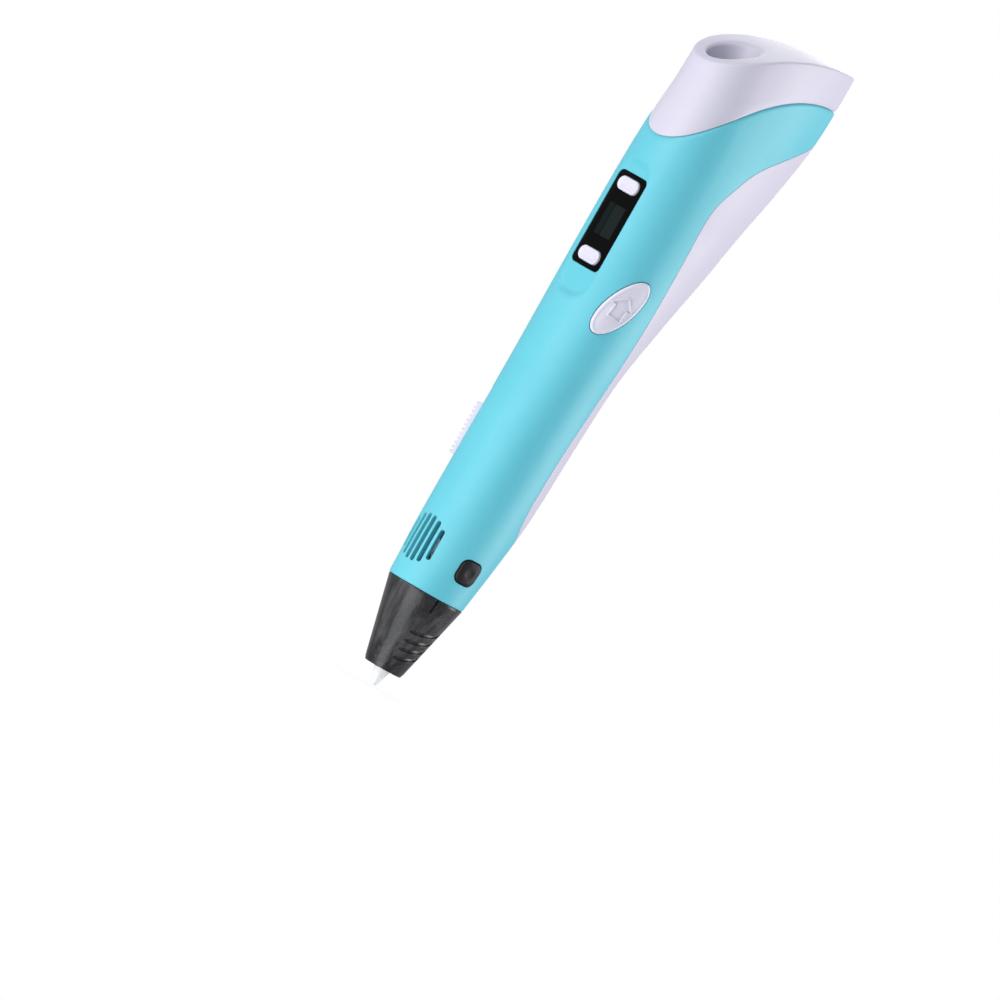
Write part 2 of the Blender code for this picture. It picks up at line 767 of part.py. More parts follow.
def make_hot_end(ceramic, brass, fibre, black, steel):
    taper = (NOZZLE_MOUTH_R - NOZZLE_TIP_R) / NOZZLE_REACH
    neck_z = NOZZLE_REACH + CONE_WALL + 2 * SEAM
    body_z = neck_z + NOZZLE_BODY_R - NOZZLE_MOUTH_R
    inlet = TUBE_BORE_R
    profile = [
        (NOZZLE_BORE_R, 0), (NOZZLE_TIP_R, 0), (NOZZLE_TIP_R + taper * neck_z, neck_z),
        (NOZZLE_BODY_R, body_z), (NOZZLE_BODY_R, NOZZLE_LENGTH), (inlet, NOZZLE_LENGTH),
        (inlet, 2.6), (NOZZLE_BORE_R, 1.2),
    ]
    add("ceramic_nozzle", turned(profile, upright(), 24), ceramic)
    bore = NOZZLE_BODY_R + SEAM
    outer = bore + SLEEVE_WALL
    add("heater_sleeve", sleeve(bore, outer, SLEEVE_Z, SLEEVE_Z + SLEEVE_LENGTH, upright()), brass)
    wrap = outer + SEAM
    top = SLEEVE_Z + SLEEVE_LENGTH
    add("insulation_wrap", sleeve(wrap, wrap + WRAP_WALL, top - WRAP_LENGTH, top, upright()), fibre)
    holder_z = COLLAR_Z - NECK_LENGTH + 0.6
    holder_r = neck_outer() - NECK_WALL - SEAM
    top = COLLAR_Z + 0.8
    profile = [
        (bore, holder_z), (holder_r, holder_z), (holder_r, top), (TUBE_R + SEAM, top),
        (TUBE_R + SEAM, NOZZLE_LENGTH + SEAM), (bore, NOZZLE_LENGTH + SEAM),
    ]
    add("nozzle_holder", turned(profile, upright(), 28), black)
    sensor = turned([(0, -0.75), (0.3, -0.7), (0.42, -0.4), (0.42, 0.4), (0.3, 0.7), (0, 0.75)],
                    upright(-(bore + 0.5), 0, SLEEVE_Z + SLEEVE_LENGTH + SEAM + 0.75), 10)
    add("heat_sensor", sensor, steel)


# ---- feed --------------------------------------------------------------------------------

def screw_y():
    return FILAMENT_R - SCREW_BITE + SCREW_R


def output_y():
    return screw_y() + GEAR_MODULE * (GEAR_TEETH + PINION_TEETH) / 2


def thread(low):
    """Feed screw: shaft with a one-start thread that carries the filament."""
    steps, per_turn = 16, 4
    depth = 0.55
    rows = per_turn * SCREW_TURNS
    rings = [shaft_ring(FEED_Z + SEAM, SCREW_SHAFT_R, steps),
             shaft_ring(low, SCREW_SHAFT_R, steps), shaft_ring(low, SCREW_R - depth, steps)]
    for row in range(1, rows):
        ring = []
        z = low + row * SCREW_PITCH / per_turn
        for i in range(steps):
            turn = 2 * math.pi * i / steps
            phase = (row / per_turn - i / steps) % 1.0
            radius = SCREW_R - depth * min(1.0, abs(2 * phase - 1) * 1.5)
            ring.append(Vector((radius * math.cos(turn), radius * math.sin(turn), z)))
        rings.append(ring)
    top = low + rows * SCREW_PITCH / per_turn
    rings += [shaft_ring(top, SCREW_R - depth, steps), shaft_ring(top, SCREW_SHAFT_R, steps),
              shaft_ring(FEED_Z + FRAME_HEIGHT - SEAM, SCREW_SHAFT_R, steps)]
    for ring in rings:
        for point in ring:
            point.y += screw_y()
    return skin_of_rod(rings)


def shaft_ring(z, radius, steps):
    return [Vector((x, y, z)) for x, y in circle(radius, steps)]


def skin_of_rod(rings):
    mesh = bmesh.new()
    rows = [[mesh.verts.new(point) for point in ring] for ring in rings]
    for low, high in zip(rows, rows[1:]):
        for i in range(len(low)):
            j = (i + 1) % len(low)
            mesh.faces.new((low[i], low[j], high[j], high[i]))
    mesh.faces.new(list(reversed(rows[0])))
    mesh.faces.new(rows[-1])
    bmesh.ops.recalc_face_normals(mesh, faces=mesh.faces)
    return mesh


def gear_height():
    return thread_height() + SCREW_TURNS * SCREW_PITCH + 0.8


def thread_height():
    return FEED_Z + FRAME_PLATE + 1.9


def make_drive(brass, steel):
    """Feed screw with its gear, and the motor's pinion in mesh with it."""
    gear_z = gear_height()
    top = gear_z + GEAR_THICK
    axis = upright(0, screw_y())
    add("feed_screw", thread(thread_height()), brass, (0, screw_y(), thread_height()))
    wheel = add("feed_gear", prism(quarter_turn(gear(GEAR_TEETH)), axis, gear_z, top), brass,
                (0, screw_y(), gear_z))
    cut(wheel, "cut_gear_bore", rod(SCREW_SHAFT_R + RUNNING, gear_z - 1, top + 1, axis, 16))
    axis = upright(0, output_y())
    shaft_top = motor_base() + GEARBOX_LENGTH / 2
    add("output_shaft", rod(OUTPUT_R, gear_z - 0.6, shaft_top, axis, 16), steel,
        (0, output_y(), gear_z))
    pinion = add("motor_pinion", prism(gap_down(gear(PINION_TEETH)), axis, gear_z, top), steel,
                 (0, output_y(), gear_z))
    cut(pinion, "cut_pinion_bore", rod(OUTPUT_R + RUNNING, gear_z - 1, top + 1, axis, 16))


def quarter_turn(outline):
    """The first tooth turned from x to y, towards the pinion."""
    return [(-y, x) for x, y in outline]


def gap_down(outline):
    """The pinion turned so that a gap faces the gear."""
    turn = -math.pi / 2 + math.pi / PINION_TEETH
    return [(x * math.cos(turn) - y * math.sin(turn), x * math.sin(turn) + y * math.cos(turn))
            for x, y in outline]


def motor_base():
    return FEED_Z + FRAME_HEIGHT + SEAM


def motor_outline(radius, flat, steps=28):
    """Round can with a flat on the side of the filament and one opposite."""
    return [(x, output_y() + min(max(y, -flat), flat)) for x, y in circle(radius, steps)]


def make_motor(steel, dark, brass):
    low = motor_base()
    box = add("gearbox", prism(motor_outline(MOTOR_R, MOTOR_FLAT), upright(), low,
                               low + GEARBOX_LENGTH), brass)
    cut(box, "cut_gearbox_bore", rod(OUTPUT_R + RUNNING, low - 1,
                                     low + GEARBOX_LENGTH / 2 + SEAM, upright(0, output_y()), 16))
    low += GEARBOX_LENGTH + SEAM
    add("motor_can", prism(motor_outline(MOTOR_R, MOTOR_FLAT), upright(), low,
                           low + MOTOR_LENGTH), steel)
    low += MOTOR_LENGTH + SEAM
    cap = prism(motor_outline(MOTOR_R - 0.6, MOTOR_FLAT - 0.6), upright(), low, low + 1.6)
    add("motor_end_cap", cap, dark)


def make_frame(grey):
    low, high = FEED_Z, FEED_Z + FRAME_HEIGHT
    outline = clipped(ring_at(low, WALL + 2 * SEAM), output_y() + 3)
    frame = add("feed_frame", prism(outline, upright(), low, low + FRAME_PLATE), grey)
    join(frame, "frame_top", prism(outline, upright(), high - FRAME_PLATE, high))
    for side in (-1, 1):
        wall = sorted((side * FRAME_WIDTH / 2, side * (FRAME_WIDTH / 2 - FRAME_WALL)))
        post = box_outline(wall[0], wall[1], -2.5, output_y() - 1)
        join(frame, f"frame_wall_{side}", prism(post, upright(), low + 0.5, high - 0.5))
        ear = rounded(2.4, lever_pin_z() - low + 1.2, 1.1, 3,
                      (LEVER_PIN_Y, (lever_pin_z() + low + 1.2) / 2))
        spot = side * (lever_half() + SEAM + LEVER_WALL / 2)
        join(frame, f"frame_ear_{side}",
             prism(ear, across_pen(), spot - LEVER_WALL / 2, spot + LEVER_WALL / 2))
    far = lever_half() * 4
    pin_hole = circle(IDLER_PIN_R + RUNNING, 16, (LEVER_PIN_Y, lever_pin_z()))
    cut(frame, "cut_ears", prism(pin_hole, across_pen(), -far, far))
    holes = ((0, TUBE_R + SEAM, low - 1, high + 1), (screw_y(), SCREW_SHAFT_R + RUNNING, low - 1,
             high + 1), (output_y(), OUTPUT_R + SEAM, high - 2 * FRAME_PLATE, high + 1))
    for number, (y, radius, bottom, top) in enumerate(holes, 1):
        cut(frame, f"cut_frame_{number}", rod(radius, bottom, top, upright(0, y), 18))


def clipped(ring, back):
    """Ring cut off flat at y = back."""
    points = []
    for a, b in zip(ring, ring[1:] + ring[:1]):
        if a.y <= back:
            points.append((a.x, a.y))
        if (a.y - back) * (b.y - back) < 0:
            cross = a.lerp(b, (back - a.y) / (b.y - a.y))
            points.append((cross.x, cross.y))
    return points


def lever_pin_z():
    return FEED_Z + FRAME_PLATE + 1.9


def lever_half():
    """Half width of the lever, outside its cheeks."""
    return IDLER_WIDTH / 2 + 2 * SEAM + LEVER_WALL


def make_idler(grey, steel):
    idler_y, idler_z = -(FILAMENT_R + IDLER_R), lever_pin_z() + LEVER_ARM
    top = idler_z + IDLER_R + 1.8
    cheek = [(LEVER_PIN_Y - 1.1, lever_pin_z() - 0.9), (LEVER_PIN_Y + 1.1, lever_pin_z() - 0.9),
             (idler_y + 1.1, idler_z - 0.8), (idler_y + 1.1, idler_z + 1.2),
             (idler_y + 0.7, top), (LEVER_PIN_Y - 0.3, top), (LEVER_PIN_Y - 1.1, lever_pin_z() + 1.6)]
    half = lever_half()
    pivot = (0, LEVER_PIN_Y, lever_pin_z())
    lever = add("idler_lever", prism(cheek, across_pen(), -half, -half + LEVER_WALL), grey, pivot)
    join(lever, "lever_cheek", prism(cheek, across_pen(), half - LEVER_WALL, half))
    bridge = box_outline(LEVER_PIN_Y + 0.1, idler_y + 0.5, top - 1.2, top - 0.1)
    join(lever, "lever_bridge", prism(bridge, across_pen(), -half + 0.4, half - 0.4))
    far = 2 * half
    for number, (y, z) in enumerate(((LEVER_PIN_Y, lever_pin_z()), (idler_y, idler_z)), 1):
        hole = circle(IDLER_PIN_R + RUNNING, 16, (y, z))
        cut(lever, f"cut_lever_{number}", prism(hole, across_pen(), -far, far))
    reach_out = half + SEAM + LEVER_WALL
    add("lever_pin", rod(IDLER_PIN_R, -reach_out, reach_out, across_pen(0, *pivot[1:]), 16), steel)
    spot = across_pen(0, idler_y, idler_z)
    add("idler_pin", rod(IDLER_PIN_R, -half, half, spot, 16), steel, (0, idler_y, idler_z))
    rim = 0.25
    wide = IDLER_WIDTH / 2
    profile = [
        (IDLER_PIN_R + RUNNING, -wide), (IDLER_R - rim, -wide), (IDLER_R, -wide + rim),
        (IDLER_R, wide - rim), (IDLER_R - rim, wide), (IDLER_PIN_R + RUNNING, wide),
    ]
    add("idler_bearing", turned(profile, spot, 24), steel, (0, idler_y, idler_z))
    add("idler_spring", spring_wire(top), steel)


def spring_wire(top, wire=0.2, turns=3, sides=6, per_turn=12):
    """Torsion spring round the lever's pin, with a leg against the frame and one on the lever."""
    radius = IDLER_PIN_R + RUNNING + 2 * wire
    half = IDLER_WIDTH / 2 - wire
    count = turns * per_turn
    path = [Vector((-half, LEVER_PIN_Y - radius, FEED_Z + FRAME_PLATE + 2 * wire))]
    for i in range(count + 1):
        turn = 2 * math.pi * i / per_turn
        x = -half + 2 * half * i / count
        path.append(Vector((x, LEVER_PIN_Y - radius * math.cos(turn),
                            lever_pin_z() + radius * math.sin(turn))))
    path.append(Vector((half, LEVER_PIN_Y - radius + 0.1, top - 0.6)))
    return swept(path, wire, sides)


def swept(path, radius, sides, bore=0.0):
    """Round bar along a path, or a tube if it has a bore."""
    outer = sweep_rings(path, radius, sides)
    if not bore:
        return skin_of_rod(outer)
    return skin_of(outer + list(reversed(sweep_rings(path, bore, sides))))


def sweep_rings(path, radius, sides):
    rings = []
    side = None
    for i, point in enumerate(path):
        along = (path[min(i + 1, len(path) - 1)] - path[max(i - 1, 0)]).normalized()
        if side is None:
            side = along.orthogonal().normalized()
        side = (side - along * side.dot(along)).normalized()
        other = along.cross(side)
        turns = [2 * math.pi * k / sides for k in range(sides)]
        rings.append([point + (side * math.cos(t) + other * math.sin(t)) * radius for t in turns])
    return rings


def make_tubes(white):
    low = NOZZLE_LENGTH + SEAM
    guide = sleeve(TUBE_BORE_R, TUBE_R, low, thread_height() - 0.9, upright(), 16)
    add("guide_tube", guide, white)
    start = FEED_Z + FRAME_HEIGHT - FRAME_PLATE
    bend = jack_bottom() - SEAM - TUBE_BEND
    path = [Vector((0, 0, start)), Vector((0, 0, bend - 4))]
    for step in range(9):
        share = step / 8
        ease = share * share * (3 - 2 * share)
        path.append(Vector((0, INLET_Y * ease, bend + TUBE_BEND * share)))
    path.append(Vector((0, INLET_Y, inlet_bottom() - SEAM)))
    add("feed_tube", swept(path, TUBE_R, 12, TUBE_BORE_R), white)


def inlet_bottom():
    return recess_floor() - RECESS_FLOOR - 3.0


def jack_bottom():
    return recess_floor() - RECESS_FLOOR - SEAM - JACK_LENGTH


def make_inlet(brass):
    low, high = inlet_bottom(), recess_floor()
    profile = [(TUBE_BORE_R, low), (TUBE_R, low), (TUBE_R, high), (TUBE_R - 0.25, high),
               (TUBE_BORE_R, high - 1.4)]
    add("inlet_bush", turned(profile, upright(0, INLET_Y), 20), brass)


def make_jack(dark, steel):
    low = jack_bottom()
    top = low + JACK_LENGTH
    body = box_outline(-JACK_WIDTH / 2, JACK_WIDTH / 2, JACK_Y - JACK_DEPTH / 2,
                       JACK_Y + JACK_DEPTH / 2)
    jack = add("power_jack", prism(body, upright(), low, top), dark)
    axis = upright(0, JACK_Y)
    cut(jack, "cut_jack_bore", rod(JACK_BORE_R, low + 2.4, top + 1, axis, 24))
    cut(jack, "cut_jack_back", rod(JACK_PIN_R + SEAM, low - 1, low + 3, axis, 16))
    profile = [(0, low - 2.2), (JACK_PIN_R, low - 2.2), (JACK_PIN_R, top - 1.9),
               (JACK_PIN_R * 0.6, top - 1.4), (0, top - 1.4)]
    add("jack_pin", turned(profile, axis, 16), steel)


# ---- display, buttons and slider -----------------------------------------------------------

def make_display(glass, white, dark, green):
    z = display_z()
    face = display_y()
    back = face - DISPLAY_THICK
    flat = place(0, z)
    pane = rounded(DISPLAY_WIDTH, DISPLAY_LENGTH, DISPLAY_CORNER, 4)
    window = add("display_window", prism(pane, flat, back, face), glass)
    panel = rounded(PANEL_WIDTH, PANEL_LENGTH, 0.4, 1)
    add("display_panel", prism(panel, flat, board_face() + SEAM, back - SEAM), dark)
    board = rounded(BOARD_WIDTH, DISPLAY_LENGTH + BOARD_ABOVE + BOARD_BELOW, 0.8, 1,
                    (0, (BOARD_ABOVE - BOARD_BELOW) / 2))
    add("main_board", prism(board, flat, board_face() - BOARD_THICK, board_face()), green)
    for name, side in (("temp_up", 1), ("temp_down", -1)):
        frame = place(0, z + side * KEY_PITCH / 2)
        hole = rounded(KEY_LENGTH + 2 * SEAM, KEY_HEIGHT + 2 * SEAM, PEN_WIDTH, 5)
        cut(window, f"cut_{name}", prism(hole, frame, back - 1, face + 1))
        cap = rounded(KEY_LENGTH, KEY_HEIGHT, PEN_WIDTH, 5)
        flange = rounded(KEY_LENGTH + 3 * SEAM, KEY_HEIGHT + SEAM, KEY_HEIGHT / 2, 3)
        top = back - SEAM
        origin = outward(0) * face + UP * (z + side * KEY_PITCH / 2)
        key = add(f"{name}_key", prism(cap, frame, top - 0.3, face + KEY_PROUD), white, origin)
        join(key, f"{name}_flange", prism(flange, frame, top - 0.6, top))
        join(key, f"{name}_stem", rod(PLUNGER_R, key_stem(), top - 0.3, frame, 12))
        make_switch(f"{name}_switch", frame, key_stem() - KEY_TRAVEL - 0.05, dark)


def key_stem():
    """Where the display keys' stems end."""
    return display_y() - DISPLAY_THICK - SEAM - 1.15


def board_face():
    return key_stem() - KEY_TRAVEL - 0.05 - PLUNGER_LENGTH - SWITCH_THICK - SEAM


def make_switch(name, frame, top, dark):
    body_top = top - PLUNGER_LENGTH
    body = rounded(SWITCH_SIZE, SWITCH_SIZE, 0.3, 1)
    switch = add(name, prism(body, frame, body_top - SWITCH_THICK, body_top), dark)
    join(switch, f"{name}_plunger", rod(PLUNGER_R, body_top - 0.3, top, frame, 12))


def unload_frame():
    return place(UNLOAD_ANGLE, on_body(UNLOAD_PLACE), UNLOAD_ACROSS)


def flange_depth(angle, z, across, outline):
    """Deepest spot of the shell's inside along an outline, where a flange must stay below."""
    return min(reach(angle, z + up, across + side, WALL) for side, up in outline) - SEAM


def proud_skin(name, z, height, proud):
    """Solid bounded by the skin moved out by proud, round the height z."""
    rings = [ring_at(z + share * height, -proud) for share in (-0.7, -0.35, 0, 0.35, 0.7)]
    return add(name, skin_of(rings, False))


def make_side_button(name, cap, flange, spot, proud, travel, white):
    """Cap that follows the skin, a flange inside the shell and a stem above the switch."""
    angle, z, across, height = spot
    frame = place(angle, z, across)
    top = flange_depth(angle, z, across, flange)
    face = reach(angle, z, across)
    origin = frame @ Vector((0, 0, face))
    button = add(name, prism(cap, frame, top - 0.4, 2 * face), white, origin)
    apply(button, proud_skin(f"{name}_skin", z, height, proud), "INTERSECT")
    join(button, f"{name}_flange", prism(flange, frame, top - 0.8, top))
    stem = top - 1.05
    join(button, f"{name}_stem", rod(PLUNGER_R, stem, top - 0.4, frame, 12))
    return frame, stem - travel - 0.05


def make_buttons(white, black, dark, green):
    lip = 1.4
    spot = (UNLOAD_ANGLE, on_body(UNLOAD_PLACE), UNLOAD_ACROSS, UNLOAD_LENGTH + lip)
    frame, top = make_side_button(
        "unload_button", oval(UNLOAD_WIDTH, UNLOAD_LENGTH, UNLOAD_TILT),
        oval(UNLOAD_WIDTH + lip, UNLOAD_LENGTH + lip, UNLOAD_TILT), spot,
        UNLOAD_PROUD, UNLOAD_TRAVEL, white)
    side_board("unload", frame, top, dark, green)
    spot = (FEED_ANGLE, on_body(FEED_PLACE), 0, FEED_SIZE + lip)
    frame, top = make_side_button(
        "feed_button", rounded(FEED_SIZE, FEED_SIZE, FEED_CORNER, 4),
        rounded(FEED_SIZE + lip, FEED_SIZE + lip, FEED_CORNER, 3), spot,
        FEED_PROUD, FEED_TRAVEL, black)
    side_board("feed", frame, top, dark, green)


def side_board(name, frame, top, dark, green):
    make_switch(f"{name}_switch", frame, top, dark)
    face = top - PLUNGER_LENGTH - SWITCH_THICK - SEAM
    board = rounded(SWITCH_SIZE, 2 * SWITCH_SIZE, 0.4, 1)
    add(f"{name}_board", prism(board, frame, face - BOARD_THICK * 0.8, face), green)


def lengthwise(angle, z):
    """Frame at the skin: x up the pen, y outwards and z to its right."""
    out = outward(angle)
    right = UP.cross(out)
    return Matrix(((0, out.x, right.x, 0), (0, out.y, right.y, 0), (1, 0, 0, z), (0, 0, 0, 1)))


def ribbed(base, top):
    """Side view of the slider: a flat base and a row of ribs, (up, out) points."""
    half = SLIDER_LENGTH / 2
    pitch = SLIDER_LENGTH / RIB_COUNT
    valley = top - 0.65
    points = [(half, base)]
    for i in range(RIB_COUNT):
        right = half - i * pitch
        points += [(right - 0.12 * pitch, valley), (right - 0.3 * pitch, top),
                   (right - 0.6 * pitch, top), (right - 0.78 * pitch, valley)]
    points.append((-half, base))
    return list(reversed(points))


def make_slider(white, dark):
    z = on_body(SLIDER_PLACE)
    floor = track_floor()
    base = floor + SEAM
    top = floor + TRACK_DEPTH + SLIDER_PROUD
    half = SLIDER_WIDTH / 2
    origin = outward(SLIDER_ANGLE) * base + UP * z
    knob = add("speed_slider", prism(ribbed(base, top), lengthwise(SLIDER_ANGLE, z), -half, half),
               white, origin)
    pot_length = STEM_LENGTH + 2 * SLIDER_TRAVEL + 10
    body = rounded(POT_WIDTH, pot_length, 0.4, 1)
    pot_top = flange_depth(SLIDER_ANGLE, z, 0, body) - SEAM
    stem = rounded(STEM_WIDTH, STEM_LENGTH, 0.2, 1)
    frame = place(SLIDER_ANGLE, z)
    join(knob, "slider_stem", prism(stem, frame, pot_top + SEAM, base + 0.3))
    add("slide_potentiometer", prism(body, frame, pot_top - POT_DEPTH, pot_top), dark)


# ---- fan -----------------------------------------------------------------------------------

def make_fan(dark, grey):
    z = on_body(VENT_PLACE)
    back = 2.6
    front = back + FAN_THICK
    flat = place(0, z)
    housing = add("fan_housing", prism(rounded(FAN_SIZE, FAN_SIZE, 1.0, 2), flat, back, front),
                  dark)
    cut(housing, "cut_fan_bore", rod(FAN_ROTOR_R + 0.35, back + 0.7, front + 1, flat, 32))
    for side in (-1, 1):
        window = rounded(FAN_SIZE * 0.24, FAN_SIZE * 0.6, 0.8, 2, (side * FAN_SIZE * 0.22, 0))
        cut(housing, f"cut_fan_vent_{side}", prism(window, flat, back - 1, back + 1))
    low = back + 0.7 + SEAM
    blades = []
    step = 2 * math.pi / FAN_BLADES
    for i in range(FAN_BLADES):
        for radius, share in ((FAN_HUB_R, 0.0), (FAN_ROTOR_R, 0.12), (FAN_ROTOR_R, 0.26),
                              (FAN_HUB_R + 0.3, 0.16), (FAN_HUB_R, 0.45), (FAN_HUB_R, 0.75)):
            turn = (i + share) * step
            blades.append((radius * math.cos(turn), radius * math.sin(turn)))
    origin = outward(0) * low + UP * z
    add("fan_rotor", prism(blades, flat, low, front - 0.3), grey, origin)


def main():
    clear_scene()
    turquoise = finish("turquoise_shell", (0.22, 0.62, 0.70))
    white = finish("lilac_white", (0.76, 0.75, 0.83))
    black = finish("dark_grip", (0.045, 0.045, 0.05), 0.5)
    dark = finish("black_plastic", (0.02, 0.02, 0.022), 0.4)
    glass = finish("display_glass", (0.004, 0.004, 0.005), 0.08)
    ceramic = finish("ceramic_white", (0.85, 0.85, 0.86), 0.35)
    fibre = finish("glass_fibre", (0.70, 0.66, 0.55), 0.9)
    brass = finish("brass", (0.60, 0.44, 0.18), 0.3, 1.0)
    steel = finish("steel", (0.55, 0.56, 0.58), 0.3, 1.0)
    green = finish("circuit_green", (0.02, 0.16, 0.07), 0.5)
    clear = finish("milky_tube", (0.82, 0.84, 0.86), 0.4)
    grey = finish("grey_nylon", (0.30, 0.31, 0.33), 0.5)
    make_shells(turquoise, white)
    make_tail_cap(white)
    make_bolts(steel)
    make_nose_cone(black)
    make_hot_end(ceramic, brass, fibre, black, steel)
    make_tubes(clear)
    make_frame(grey)
    make_drive(brass, steel)
    make_motor(steel, dark, brass)
    make_idler(grey, steel)
    make_inlet(brass)
    make_jack(dark, steel)
    make_display(glass, white, dark, green)
    make_buttons(white, black, dark, green)
    make_slider(white, dark)
    make_fan(dark, grey)


main()
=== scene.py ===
import json
import math

import bmesh
import bpy
from mathutils import Matrix, Vector

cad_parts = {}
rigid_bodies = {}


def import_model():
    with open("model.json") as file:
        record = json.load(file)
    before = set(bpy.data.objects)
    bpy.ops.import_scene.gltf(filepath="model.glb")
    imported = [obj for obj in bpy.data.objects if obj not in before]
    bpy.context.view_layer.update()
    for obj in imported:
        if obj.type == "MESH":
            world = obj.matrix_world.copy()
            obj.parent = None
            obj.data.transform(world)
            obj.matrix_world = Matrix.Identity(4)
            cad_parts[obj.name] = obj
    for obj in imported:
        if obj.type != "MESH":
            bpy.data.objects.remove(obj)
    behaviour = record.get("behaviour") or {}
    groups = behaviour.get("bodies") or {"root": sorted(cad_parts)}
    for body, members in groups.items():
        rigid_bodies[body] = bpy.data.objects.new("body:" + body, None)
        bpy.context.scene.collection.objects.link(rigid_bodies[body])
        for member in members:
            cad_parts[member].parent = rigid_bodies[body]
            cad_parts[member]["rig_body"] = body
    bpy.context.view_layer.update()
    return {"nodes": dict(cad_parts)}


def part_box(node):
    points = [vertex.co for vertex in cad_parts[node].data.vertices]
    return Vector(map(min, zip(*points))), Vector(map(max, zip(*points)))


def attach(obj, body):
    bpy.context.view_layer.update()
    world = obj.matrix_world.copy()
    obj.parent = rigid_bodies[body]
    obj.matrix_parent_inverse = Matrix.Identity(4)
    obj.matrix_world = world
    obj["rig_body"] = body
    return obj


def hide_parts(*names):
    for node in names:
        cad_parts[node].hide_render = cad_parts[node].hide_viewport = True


# A hand-held drawing pen with a turquoise front, a lilac white back and cap, and a black nose.
# Lengths are millimetres until a mesh is made. z runs up the pen, -y is the display side.

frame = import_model()
mm = 0.001


def boxOf(node):
    low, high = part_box(node)
    return low / mm, high / mm


def middleOf(node):
    low, high = boxOf(node)
    return (low + high) / 2


print("frame loaded")


# Shader graphs. A Wire is a socket that can be used in sums.

class Wire:
    def __init__(self, graph, socket):
        self.graph = graph
        self.socket = socket

    def maths(self, operation, first, second=0.0):
        return self.graph.node("ShaderNodeMath", {"operation": operation}, {0: first, 1: second})

    def __add__(self, other):
        return self.maths("ADD", self, other)

    def __radd__(self, other):
        return self.maths("ADD", other, self)

    def __sub__(self, other):
        return self.maths("SUBTRACT", self, other)

    def __rsub__(self, other):
        return self.maths("SUBTRACT", other, self)

    def __mul__(self, other):
        return self.maths("MULTIPLY", self, other)

    def __rmul__(self, other):
        return self.maths("MULTIPLY", other, self)

    def __pow__(self, other):
        return self.maths("POWER", self, other)

    def __lt__(self, other):
        return self.maths("LESS_THAN", self, other)

    def __gt__(self, other):
        return self.maths("GREATER_THAN", self, other)

    def __abs__(self):
        return self.maths("ABSOLUTE", self)


class Graph:
    def __init__(self, name, **surface):
        self.material = bpy.data.materials.new(name)
        self.material.use_nodes = True
        self.tree = self.material.node_tree
        self.shader = self.tree.nodes["Principled BSDF"]
        for socket, value in surface.items():
            self.shader.inputs[socket.replace("_", " ")].default_value = value

    def node(self, kind, settings, sockets, output=0):
        made = self.tree.nodes.new(kind)
        for name, value in settings.items():
            if name == "stops":
                elements = made.color_ramp.elements
                while len(elements) < len(value):
                    elements.new(0.5)
                for element, (position, colour) in zip(elements, value):
                    element.position, element.color = position, colour
            else:
                setattr(made, name, value)
        for key, value in sockets.items():
            if isinstance(value, Wire):
                self.tree.links.new(value.socket, made.inputs[key])
            else:
                made.inputs[key].default_value = value
        return Wire(self, made.outputs[output])

    def feed(self, socket, wire):
        self.tree.links.new(wire.socket, self.shader.inputs[socket])

    def place(self):
        return self.node("ShaderNodeTexCoord", {}, {}, "Object")

    def stretched(self, x, y, z):
        return self.node("ShaderNodeVectorMath", {"operation": "MULTIPLY"},
                         {0: self.place(), 1: (x, y, z)})

    def along(self, axis):
        return self.node("ShaderNodeSeparateXYZ", {}, {0: self.place()}, "XYZ".index(axis))

    def noise(self, scale, detail=3.0, rough=0.5, vector=None, warp=0.0):
        return self.node("ShaderNodeTexNoise", {}, {
            "Vector": vector or self.place(), "Scale": scale, "Detail": detail,
            "Roughness": rough, "Distortion": warp})

    def cells(self, scale, feature="F1", output="Distance", vector=None):
        return self.node("ShaderNodeTexVoronoi", {"feature": feature},
                         {"Vector": vector or self.place(), "Scale": scale}, output)

    def waves(self, scale, direction, warp=0.0):
        return self.node("ShaderNodeTexWave", {"bands_direction": direction},
                         {"Vector": self.place(), "Scale": scale, "Distortion": warp,
                          "Detail": 2.0, "Detail Scale": 1.5}, 1)

    def spread(self, value, low, high, start=0.0, end=1.0):
        return self.node("ShaderNodeMapRange", {}, {
            "Value": value, "From Min": low, "From Max": high, "To Min": start, "To Max": end})

    def mix(self, factor, first, second):
        return self.node("ShaderNodeMix", {"data_type": "RGBA"},
                         {0: factor, 6: first, 7: second}, 2)

    def bump(self, height, depth, normal=None, strength=1.0):
        sockets = {"Height": height, "Distance": depth, "Strength": strength}
        if normal:
            sockets["Normal"] = normal
        return self.node("ShaderNodeBump", {}, sockets)

    def softEdges(self, radius):
        return self.node("ShaderNodeBevel", {"samples": 4}, {"Radius": radius * mm})


def shade(colour, share=1.0):
    return (colour[0] * share, colour[1] * share, colour[2] * share, 1.0)


